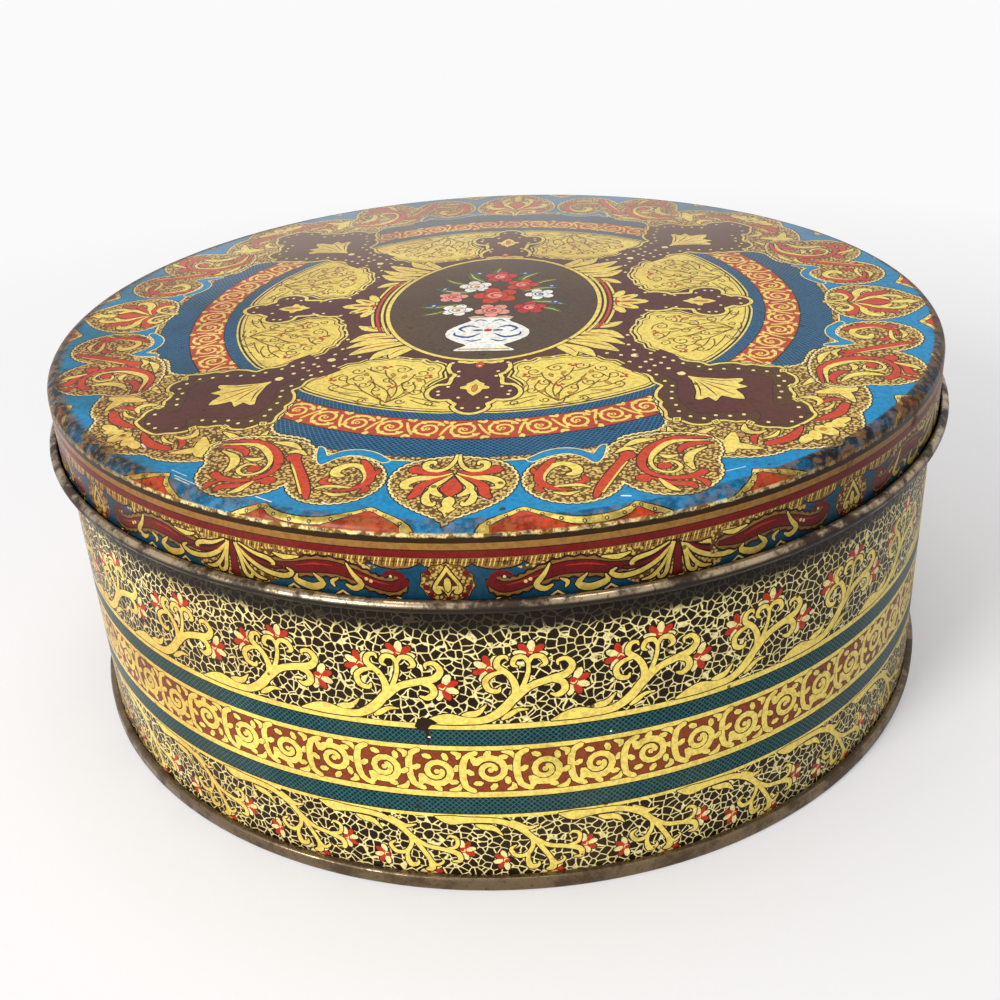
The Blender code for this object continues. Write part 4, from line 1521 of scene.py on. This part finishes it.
def side_jewel():
    """Leaf cluster and red arcs at the side of the oval."""
    arcs = []
    for offset, reach, name in ((2.0, 32, "gold"), (3.2, 27, "red"), (4.3, 22, "gold")):
        path = []
        for k in range(-6, 7):
            angle = math.radians(reach * k / 6)
            x = (OVAL_HALF[0] + offset) * math.cos(angle)
            y = (OVAL_HALF[1] + offset) * math.sin(angle)
            path.append((x, y, 0.62))
        arcs.append((name, ribbon(path)))
    half = [("gold", petal((29.4, 1.2), 34, 6.4, 2.8)), ("gold", petal((29.0, 2.6), 66, 5.6, 2.4))]
    half += redrawn(half, lambda x, y: (x, -y))
    leaf = edged(half + [("gold", petal((28.8, 0), 0, 8.4, 3.6, 10))], ("line", 0.26))
    leaf += [("bud", petal((30.2, 0), 0, 4.6, 1.2)), ("bud", petal((30.4, 1.9), 36, 3.2, 0.8, 6)),
             ("bud", petal((30.4, -1.9), -36, 3.2, 0.8, 6)), ("flame", disc((29.6, 0), 0.8, 8))]
    return edged(arcs, ("line", 0.2)) + leaf


def end_jewel():
    """Small ornament at the top and bottom of the oval."""
    shapes = strokes(
        "gold", [(-4.4, 35.4, 1.2), (-2.4, 36.4, 1.0), (0, 35.8, 0.8), (2.4, 36.4, 1.0), (4.4, 35.4, 1.2)])
    shapes += [("red", petal((0, 35.8), 90, 3.4, 2.0))] + dots([(-4.2, 35.6), (4.2, 35.6)], 0.9, "gold")
    return edged(shapes, LEAF_EDGE) + dots([(0, 38.0)], 0.4)


FIVE_PETALS = range(0, 360, 72)  # headings


def rose(at, size, outer, inner, turn):
    """A garden rose seen from the side of its cup: five outer petals and two curls."""
    shapes = [(outer, petal(turned((0.7, 0), a), a, 2.6, 2.4)) for a in FIVE_PETALS]
    shapes = edged(shapes, ("line", 0.14)) + edged([(outer, disc((0, 0), 1.7, 12))], ("line", 0.12))
    shapes += [(inner, whorl((0, 0), 1.35, 0.3, 30, 430, (0.34, 0.5), 12)), (inner, disc((0, 0), 0.4, 7))]
    return placed(shapes, at, turn, size)


def leaf_pair(at, heading, size):
    """A leaf with a pale vein."""
    leaf = strokes("leaf", [(0, 0, 0.3), (2.2, 0.5, 1.9), (4.6, 0.2, 1.6), (7.0, -0.6, 0.1)])
    vein = strokes("gold", [(0.6, 0.1, 0.1), (3.4, 0.4, 0.26), (5.8, -0.2, 0.1)])
    return placed(edged(leaf, ("line", 0.12)) + vein, at, heading, size)


BOUQUET_LEAVES = [  # place, heading and size
    ((-6, 8), 165, 1.5), ((6, 8), 20, 1.5), ((-8, 0), 195, 1.5), ((8, 1), -12, 1.5), ((-3, 15), 125, 1.5),
    ((5, 15), 60, 1.4), ((0, 18), 95, 1.4), ((-11, -4), 215, 1.0), ((11, -3), -30, 1.0), ((-8, 14), 145, 1.1),
    ((9, 13), 38, 1.1),
]
BOUQUET_ROSES = [  # place, size, inks of the outer and inner petals, turn
    ((-10.5, 5.0), 1.15, "pink", "rose", 10), ((10.8, 6.0), 1.15, "white", "navy", 40),
    ((-8.6, -4.2), 1.2, "white", "amber", 0), ((8.8, -3.2), 1.25, "rose", "pink", 20),
    ((0.0, -4.8), 1.35, "pink", "rose", 50), ((-5.6, 12.4), 1.3, "white", "amber", 30),
    ((6.0, 13.2), 1.3, "red", "pink", 0), ((0.2, 19.6), 1.3, "rose", "pink", 15),
    ((0.0, 5.6), 1.75, "red", "pink", 36),
]
SMALL_BLOOMS = [(-13.2, 11.0), (13.4, 12.0), (-5.6, 22.6), (6.2, 22.0), (-14.6, -1.0), (14.8, 0.4)]


def bouquet():
    """Roses and leaves in a white vase with a blue pattern."""
    shapes = [shape for leaf in BOUQUET_LEAVES for shape in leaf_pair(*leaf)]
    half = [(3.6, -8.6), (5.4, -9.4), (4.4, -11.4), (6.8, -14.0), (9.4, -17.6), (9.2, -21.6), (6.0, -25.0),
            (4.2, -26.6), (6.2, -28.6), (6.4, -29.8), (0, -29.8)]
    shapes += edged([("white", both([(0, -8.6)] + smooth(half, 2)))], ("line", 0.2))
    band = strokes(
        "navy", [(2.2, -16.0, 0.3), (4.6, -14.8, 0.9), (6.6, -16.6, 0.8), (5.2, -18.4, 0.3)],
        [(1.6, -19.6, 0.3), (4.2, -21.8, 1.0), (7.2, -20.6, 0.8), (7.6, -18.8, 0.3)],
        [(1.0, -23.0, 0.3), (3.0, -24.2, 0.7), (4.6, -23.4, 0.3)],
        [(0.6, -12.0, 0.3), (2.4, -11.0, 0.6), (3.6, -12.2, 0.3)])
    shapes += mirrored(band + [("navy", petal((1.0, -17.6), 0, 2.6, 1.2))]) + dots([(0, -17.6)], 1.0, "flame")
    shapes += strokes(
        "amber", [(-5.0, -9.6, 0.7), (0, -9.0, 0.8), (5.0, -9.6, 0.7)],
        [(-5.6, -28.8, 0.6), (5.6, -28.8, 0.6)])
    for flower in BOUQUET_ROSES:
        shapes += rose(*flower)
    bloom = [("navy", petal((0, 0), a, 1.5, 1.0, 6)) for a in FIVE_PETALS] + dots([(0, 0)], 0.45, "gold")
    for at in SMALL_BLOOMS:
        shapes += placed(bloom, at)
    return shapes


print("bouquet has", len(bouquet()), "shapes")

# %% [markdown]
# The skirt carries eight repeats of a spade medallion, a palmette and crimson scroll bars under a
# wavy gold fringe. It is drawn like the wall, as millimetres of arc and height above the floor.

# %% Skirt
SKIRT_FOOT = ROLL_Z + 0.05  # hidden behind the top of the rolled edge
SKIRT_REPEATS = 8
skirt_pitch = math.tau * LID_R / SKIRT_REPEATS
FRINGE_WAVES = 9
TRIANGLE_PITCH = 9.4
SPADE_POINTS = 22
SPADE_MIDDLE, SPADE_HALF_WIDTH, SPADE_HALF_HEIGHT = 71.15, 4.7, 3.85
LOBE_SHARE = 0.93  # where the medallion's edge dips, as a share of its size


def spade():
    """Gold medallion with a lobed edge and a spade in it, centred at x = 0."""
    lobes = []
    for k in range(SPADE_POINTS):
        angle, size = math.tau * k / SPADE_POINTS, 1.0 if k % 2 else LOBE_SHARE
        lobes.append((SPADE_HALF_WIDTH * size * math.sin(angle),
                      SPADE_MIDDLE - SPADE_HALF_HEIGHT * size * math.cos(angle)))
    shapes = edged([("stipple", lobes)], ("line", 0.3), ("amber", 0.1))
    arch = [(0, 74.6), (1.0, 73.0), (2.2, 71.2), (2.6, 69.9), (1.9, 68.9), (1.0, 69.2), (1.3, 70.0),
            (0.6, 69.5), (0, 68.3)]
    arch = both(smooth(arch, 2))
    shapes += edged([("gold", arch)], ("line", 0.25)) + [("brown", outset(arch, -0.62))]
    shapes += edged([("gold", petal((0, 69.3), 90, 3.0, 1.3))], ("line", 0.2))
    shapes += mirrored(dots([(3.3, 73.2), (3.7, 70.2), (2.9, 68.7)], 0.62, "crimson"))
    return shapes + dots([(0, 67.95)], 0.5, "crimson")


def skirt_palmette():
    """Crimson stem between gold leaves that hang from the top and curl up, centred at x = 0."""
    side = strokes(
        "gold", [(0.6, 74.8, 0.3), (1.6, 71.6, 0.7), (2.2, 68.9, 0.8), (3.4, 68.3, 0.7), (3.7, 69.5, 0.3)],
        [(1.0, 74.9, 0.3), (3.2, 72.2, 0.8), (6.8, 70.3, 0.9), (10.4, 69.9, 1.0), (12.2, 70.9, 0.8),
         (11.2, 71.7, 0.3)],
        [(1.6, 75.0, 0.3), (4.6, 73.6, 0.7), (7.4, 73.0, 0.9), (8.6, 72.1, 0.7), (7.8, 71.6, 0.3)],
        [(0.9, 74.8, 0.2), (2.6, 71.0, 0.6), (4.6, 68.8, 0.8), (6.6, 68.4, 0.3)])
    side += strokes("crimson", [(1.3, 74.6, 0.2), (4.4, 72.4, 0.7), (8.4, 71.5, 0.5), (10.0, 71.6, 0.2)])
    middle = [("crimson", [(-0.7, 75.1), (0.7, 75.1), (0.6, 71.0), (0.9, 68.2), (-0.9, 68.2), (-0.6, 71.0)])]
    half = [(0, 75.0), (5, 74.6), (8, 72.0), (10, 69.6), (6, 67.6), (0, 67.4)]
    shapes = [("stipple", both(smooth(half, 2)))] + edged(middle, ("line", 0.2))
    return shapes + mirrored(edged(side, ("line", 0.32)))


def scroll_bar():
    """Crimson bar with round ends and a frayed gold edge, from a spade towards a palmette at its right."""
    body = [(7.8, 71.0, 1.6), (9.6, 70.1, 1.9), (12.4, 70.5, 1.7), (15.4, 71.7, 1.9), (19.6, 73.0, 2.2),
            (23.8, 72.9, 2.3), (28.0, 72.1, 1.8), (32.4, 72.2, 0.6)]
    hook = [(7.6, 71.4, 1.3), (8.3, 72.7, 1.2), (10.2, 72.9, 1.0), (11.2, 72.2, 0.6)]
    path = smooth(body, 4)
    frayed = [(x, y, width + (1.9 if k % 2 else 1.2)) for k, (x, y, width) in enumerate(path)]
    shapes = [("line", ribbon([(x, y, width + 0.9) for x, y, width in frayed])), ("tan", ribbon(frayed)),
              ("line", ribbon([(x, y, width + 0.5) for x, y, width in path]))]
    shapes += strokes("crimson", body, hook) + dots([(7.6, 71.0)], 1.0, "crimson")
    shapes += strokes(
        "flame", [(10.2, 70.5, 0.1), (13.4, 71.3, 0.35), (17.0, 72.6, 0.1)],
        [(20.2, 73.5, 0.1), (24.0, 73.4, 0.35), (27.2, 72.6, 0.1)])
    gold = strokes(
        "gold",
        [(17.6, 74.2, 0.3), (16.6, 72.2, 0.8), (15.2, 70.2, 1.1), (16.6, 69.2, 1.0), (18.0, 69.9, 0.4)],
        [(24.0, 71.4, 0.3), (22.4, 69.6, 1.2), (24.6, 68.6, 1.4), (27.6, 69.6, 1.1), (27.2, 70.8, 0.3)],
        [(26.6, 74.4, 0.3), (29.4, 73.9, 1.0), (31.6, 74.4, 0.3)],
        [(19.4, 71.0, 0.3), (20.6, 70.2, 0.8), (20.2, 69.2, 0.3)])
    shapes += edged(gold, ("line", 0.22))
    return shapes + dots([(13.4, 71.0), (14.2, 71.4)], 0.36) + dots([(9.8, 72.2)], 0.3)


def fringe_hatch(width):
    """A wavy length of the gold fringe under the crimson line, with slanting dark hatches."""
    half = [(0, 73.9), (width * 0.25, 74.1), (width * 0.42, 74.7), (width / 2, 75.1)]
    shapes = edged([("tan", both([(0, 73.8)] + half))], ("line", 0.3))
    for k in range(-6, 7):
        x = k * width / 13
        hatch = ribbon([(x - 0.2, 74.3 + 0.05 * abs(k), 0.14), (x + 0.2, 75.9, 0.22)])
        shapes.append(("gold" if k % 3 else "line", hatch))
    return shapes


TRIANGLES = [  # ink, half width and rise of the foot, the same of the waist, height of the tip
    ("line", (4.1, 0.2), (1.6, 0.9), 69.0),
    ("cream", (3.6, 0.25), (1.4, 0.8), 68.75),
    ("brown", (2.4, 0.3), (1.0, 0.65), 68.3),
]


def foot_triangle():
    """Small dark triangle with a cream edge at the foot of the skirt."""
    shapes = []
    for name, (foot, low), (waist, high), tip in TRIANGLES:
        low, high = SKIRT_FOOT + low, SKIRT_FOOT + high
        shapes.append((name, [(-foot, low), (foot, low), (waist, high), (0, tip), (-waist, high)]))
    return shapes


def skirt_repeat():
    """Everything between one spade and the next."""
    shapes = []
    for k in range(FRINGE_WAVES):
        along = (k + 0.5 - FRINGE_WAVES / 2) * skirt_pitch / FRINGE_WAVES
        shapes += placed(fringe_hatch(skirt_pitch / FRINGE_WAVES), (along, 0))
    for k in range(-3, 4):  # the spade hides the middle triangle, so that one is under the palmette
        shapes += placed(foot_triangle(), (k * TRIANGLE_PITCH if k else skirt_pitch / 2, 0))
    palmette = placed(skirt_palmette(), (skirt_pitch / 2, 0))
    ground = [("stipple", [(12, 74.0), (18, 75.2), (34, 75.2), (34, 70.4), (26, 70.8), (18, 71.4)])]
    return shapes + mirrored(ground) + scroll_bar() + flipped(scroll_bar()) + palmette + spade()


print("one repeat of the skirt is", round(skirt_pitch, 1), "mm wide")

# %% [markdown]
# Now the lid's sheet is put together. The sheet is flat to where the shoulder begins, then each
# ring of it lies lower on the shoulder and on the skirt. Distances on the sheet follow the metal,
# so nothing is stretched across the bend.

# %% Lid sheet
LID_COLUMNS = 360
PRINT_TURN = -5.74  # degrees that the whole print is turned on the lid
VINE_WAVES = 58
VINE_R = 67.75
SKIRT_STEP = 2.0
SHOULDER_STEPS = 6
bend_length = SHOULDER * math.pi / 2


def lid_reach(height):
    """Distance from the middle of the lid's sheet for a height on the skirt."""
    return FLAT_R + bend_length + TOP - SHOULDER - height


SKIRT_STRIPES = [  # ink and lower edge, from the foot up
    ("peacock", SKIRT_FOOT), ("line", 75.0), ("tan", 75.15), ("line", 76.1), ("crimson", 76.2),
    ("line", 77.5), ("tan", 77.7), ("line", 79.0),
]
SKY_R = 103.9  # where the blue ground of the top begins
TOP_RINGS = [("line", 80.6), ("cream", 80.4), ("stipple", 80.0), ("line", 78.8), ("band", 78.6),
             ("line", 71.9), ("brick", 71.6), ("line", 64.1), ("band", 63.85), ("line", 60.5),
             ("cream", 60.3), ("plum", 59.6)]
PRINT_SHIFT = 3.8  # how far the middle of the print lies behind the middle of the lid
SHIFT_END = 85.0  # no shift from this radius outwards
SHIFT_POWER = 2.5  # how the shift falls off between them


def vine_wave(hand):
    """One loop of the gold vine on the red ring, centred on (0, 0)."""
    shapes = [whorl((0, 0), 3.3, 0.9, -150 * hand, 560 * hand, (0.7, 0.55), 22),
              brush([(2.6, 2.4 * hand, 0.5), (3.7, 0.4 * hand, 0.6), (4.6, -2.2 * hand, 0.5)])]
    for x, y, heading in ((3.6, 2.4, 60), (-3.4, 2.5, 110), (3.5, -2.9, -30), (-3.6, -2.7, 200),
                          (1.9, 0.4, 60), (-1.6, -1.5, 230), (0.2, 2.0, 150), (0.7, -2.0, -40)):
        shapes.append(petal((x, y * hand), heading * hand, 1.6, 0.9, 6))
    eye = dots([(0, 0)], 0.6, "gold") + dots([(0, 0)], 0.3, "flame")
    return [("gold", outline) for outline in shapes] + eye


def around(motif, radius, degrees):
    """A motif centred on (0, 0), moved out to a radius and turned with its place."""
    angle = math.radians(degrees)
    return placed(motif, (radius * math.sin(angle), radius * math.cos(angle)), -degrees)


def quarters(motif, offset=0):
    """The motif on all four sides."""
    return [shape for k in range(4) for shape in placed(motif, turn=k * 90 + offset)]


def paired_quarters(motif):
    """The motif on all four sides, at both hands."""
    return quarters(motif) + quarters(flipped(motif))


def shifted(x, y):
    """A place of the print as it lies on this lid, its middle a few millimetres behind the lid's."""
    share = min(math.hypot(x, y) / SHIFT_END, 1.0)
    return (x, y + PRINT_SHIFT * (1 - share**SHIFT_POWER))


lid_motifs = [(name, disc((0, 0), radius, 180)) for name, radius in TOP_RINGS]
for k in range(VINE_WAVES):
    lid_motifs += around(vine_wave(1 - k % 2 * 2), VINE_R, k * 360 / VINE_WAVES)
lid_motifs += paired_quarters(field()) + paired_quarters(rim_arches())
lid_motifs += quarters(diagonal_mass(), 45) + paired_quarters(flank()) + quarters(palmette_medallion())
lid_motifs += quarters(diagonal_finial(), 45) + quarters(finial()) + quarters(frame_dots())
for flip_x in (1, -1):
    for flip_y in (1, -1):
        lid_motifs += redrawn(corner_spray(), lambda x, y: (x * flip_x, y * flip_y))
lid_motifs += side_jewel() + flipped(side_jewel()) + end_jewel() + placed(end_jewel(), turn=180)
for name, grow in (("line", 1.35), ("gold", 1.1), ("line", 0.15), ("ground", 0)):
    lid_motifs.append((name, oval(grow)))
lid_motifs += bouquet()
lid_motifs = redrawn(lid_motifs, shifted)
for k in range(SKIRT_REPEATS):
    lid_motifs += on_sheet(skirt_repeat(), k * skirt_pitch, LID_R, lid_reach)
lid_motifs = placed(lid_motifs, turn=PRINT_TURN)

# scratches and bare nicks near the front edge, as (degrees, radius) pairs with a width
SCRATCHES = [(-37.4, 98.8, -32.6, 99.6, 0.16), (-38.6, 97.6, -36.0, 97.9, 0.14),
             (-36.8, 99.5, -34.4, 100.0, 0.3), (-26.2, 98.6, -24.0, 99.4, 0.25),
             (-18.9, 97.2, -18.2, 97.6, 0.4), (12.0, 97.4, 12.9, 98.0, 0.4), (-3.4, 92.0, -1.2, 95.0, 0.12),
             (-47.0, 94.6, -45.8, 95.0, 0.4), (24.0, 96.8, 26.4, 97.2, 0.16)]
for start, near, end, far, width in SCRATCHES:
    ends_and_middle = ((start, near), ((start + end) / 2, (near + far) / 2), (end, far))
    path = [(*turned((0, -radius), angle), width) for angle, radius in ends_and_middle]
    lid_motifs.append(("white", ribbon(path)))

skirt_heights = np.arange(TOP - SHOULDER - SKIRT_STEP, SKIRT_FOOT + SKIRT_STEP / 2, -SKIRT_STEP)
lid_rings = [FLAT_R + bend_length * k / SHOULDER_STEPS for k in range(SHOULDER_STEPS + 1)]
lid_rings += [lid_reach(height) for height in skirt_heights]
lid_stripes = [(name, lid_reach(height)) for name, height in SKIRT_STRIPES] + [("sky", SKY_R)]
lid_cut = cut_sheet(lid_stripes, lid_motifs, LID_COLUMNS, lid_rings)

# %% [markdown]
# Below the skirt the sheet is rolled outwards into the edge that a hand pulls at. What shows there
# and inside the lid is the unprinted side of the sheet.

# %% Lid
SHEET_SHARE = 2.4  # width of the flat map, as a multiple of the sheet's radius
SHEET_MIDDLE_SHARE = 0.42
LID_ROLL_FROM, LID_ROLL_TO = 180, 476  # degrees of the rolled edge in the section
LID_INSIDE_RINGS = (80.0, 60.0, 40.0, 20.0)


def lid_place(reach, angle):
    """Points and normals of the lid's outside, for places on its sheet."""
    lean = np.clip((reach - FLAT_R) / SHOULDER, 0, math.pi / 2)
    radius = np.minimum(reach, FLAT_R) + SHOULDER * np.sin(lean)
    height = TOP - SHOULDER + SHOULDER * np.cos(lean) - np.maximum(reach - FLAT_R - bend_length, 0)
    sine, cosine = np.sin(angle), -np.cos(angle)
    points = np.stack([radius * sine, radius * cosine, height], axis=1)
    return points, np.stack([np.sin(lean) * sine, np.sin(lean) * cosine, np.cos(lean)], axis=1)


def lid_flat(corners):
    """The flat map for baking: the round sheet, kept clear of the strip at the top."""
    return corners / (SHEET_SHARE * lid_reach(SKIRT_FOOT)) + SHEET_MIDDLE_SHARE


roll_at = (LID_INSIDE + LID_ROLL, ROLL_Z)
lid_profile = [(LID_R, SKIRT_FOOT)]
lid_profile += bend(roll_at, LID_ROLL - TINPLATE, LID_ROLL_FROM, LID_ROLL_TO, ROLL_STEPS)
lid_profile += bend(roll_at, LID_ROLL, LID_ROLL_TO, LID_ROLL_FROM, ROLL_STEPS)
lid_profile += bend((FLAT_R, TOP - SHOULDER), SHOULDER - TINPLATE, 0, 90, SHOULDER_STEPS)
lid_profile += [(radius, TOP - TINPLATE) for radius in LID_INSIDE_RINGS]

lid_shell = Shell(LID_COLUMNS)
lid_shell.add_sheet(lid_cut, lid_place, lid_flat)
lid_shell.turn(lid_profile, "edge_metal", lid_shell.sheet_ring(lid_reach(SKIRT_FOOT)))
lid = lid_shell.build("printed_lid")
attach(lid, "lid")
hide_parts("lid")

# %% [markdown]
# ## The base
#
# The base is one pressed panel. Its edge is folded round the wall's flange to make the bottom seam,
# which is what the tin stands on. It is bare tinplate, dulled and spotted with rust.

# %% Base
BASE_COLUMNS = 240
SHARP_FROM = math.radians(35)  # corners from this angle up stay sharp in the shading
FOLD_STEPS, SEAM_STEPS = 5, 6


def base_profile():
    """(radius, height) points round the section of the base, from the middle of its top."""
    wall_outside = wall_inside - SEAM_GAP
    hook_in = WALL_R + SEAM_GAP
    seam_r = hook_in + TINPLATE + 2 * layer
    low = (seam_r - SEAM_CORNER, SEAM_CORNER)
    high = (seam_r - SEAM_CORNER, SEAM_TOP - SEAM_CORNER)
    step_out = wall_outside - TINPLATE - PANEL_RING_WIDTH
    step_in = step_out - PANEL_STEP_WIDTH
    middle = PANEL_RAISE + PANEL_STEP
    inner = SEAM_CORNER - TINPLATE
    upper = [(step_in, middle), (step_out, PANEL_RAISE), (wall_outside, PANEL_RAISE),
             (wall_outside, TINPLATE)]
    fold = bend(low, inner, -90, 0, FOLD_STEPS) + bend(high, inner, 0, 90, FOLD_STEPS)
    fold += [(hook_in + TINPLATE, SEAM_TOP - TINPLATE), (hook_in + TINPLATE, 2 * layer), (hook_in, 2 * layer),
             (hook_in, SEAM_TOP)]
    outside = bend(high, SEAM_CORNER, 90, 0, SEAM_STEPS) + bend(low, SEAM_CORNER, 0, -90, SEAM_STEPS)
    under = [(wall_outside - TINPLATE, 0), (wall_outside - TINPLATE, PANEL_RAISE - TINPLATE),
             (step_out, PANEL_RAISE - TINPLATE), (step_in, middle - TINPLATE)]
    return upper + fold + outside + under, middle


def turned_solid(section, middle, columns):
    """Points and faces of a solid turned from a section that starts and ends near the axis."""
    points = [(x, y, height) for radius, height in section for x, y in circle(radius, columns)]
    rings = [list(range(first, first + columns)) for first in range(0, len(points), columns)]
    faces = []
    for a, b in zip(rings, rings[1:]):
        faces += ring_faces(a, b)
    top, bottom = len(points), len(points) + 1
    points += [(0, 0, middle), (0, 0, middle - TINPLATE)]
    faces += [(top, a, b) for a, b in zip(rings[0], shifted_by_one(rings[0]))]
    faces += [(bottom, b, a) for a, b in zip(rings[-1], shifted_by_one(rings[-1]))]
    return points, faces


def solid(name, points, faces, material):
    """A piece in one finish, from points in millimetres."""
    mesh = bpy.data.meshes.new(name)
    mesh.from_pydata([[value * MM for value in point] for point in points], [], faces)
    mesh.materials.append(materials[material])
    print(name, "has", len(faces), "faces")
    return linked(name, mesh)


base = solid("base_panel", *turned_solid(*base_profile(), BASE_COLUMNS), "edge_metal")
base.data.shade_smooth()
base.data.set_sharp_from_angle(angle=SHARP_FROM)
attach(base, "body")
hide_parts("base")

# %% [markdown]
# The ends of the wall's sheet are locked together at the back, and the fold is pressed flat. It
# stands a little into the tin, so from above it shows as a low strip on the inside.

# %% Side seam
SIDE_SEAM_STEPS = 8
seam_thick = 2 * TINPLATE
seam_top_z = rim_z - BODY_ROLL - SIDE_SEAM_MARGIN
seam_foot_z = PANEL_RAISE + SIDE_SEAM_MARGIN
seam_face = wall_inside - seam_thick
seam_section = [(wall_inside + TINPLATE / 2, seam_foot_z), (wall_inside + TINPLATE / 2, seam_top_z),
                (wall_inside, seam_top_z), (seam_face, seam_top_z - seam_thick),
                (seam_face, seam_foot_z + seam_thick), (wall_inside, seam_foot_z)]
points, faces = [], []
for step in range(SIDE_SEAM_STEPS + 1):
    angle = math.pi / 2 + (step / SIDE_SEAM_STEPS - 0.5) * SIDE_SEAM_WIDTH / wall_inside
    points += [(radius * math.cos(angle), radius * math.sin(angle), height)
               for radius, height in seam_section]
count = len(seam_section)
for step in range(SIDE_SEAM_STEPS):
    for k in range(count):
        a, b = step * count, (step + 1) * count
        faces.append((a + k, a + (k + 1) % count, b + (k + 1) % count, b + k))
faces.append(tuple(range(count))[::-1])
faces.append(tuple(SIDE_SEAM_STEPS * count + k for k in range(count)))
side_seam = solid("side_seam", points, faces, "inside_metal")
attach(side_seam, "body")
print("side seam strip", SIDE_SEAM_WIDTH, "mm wide at the back")
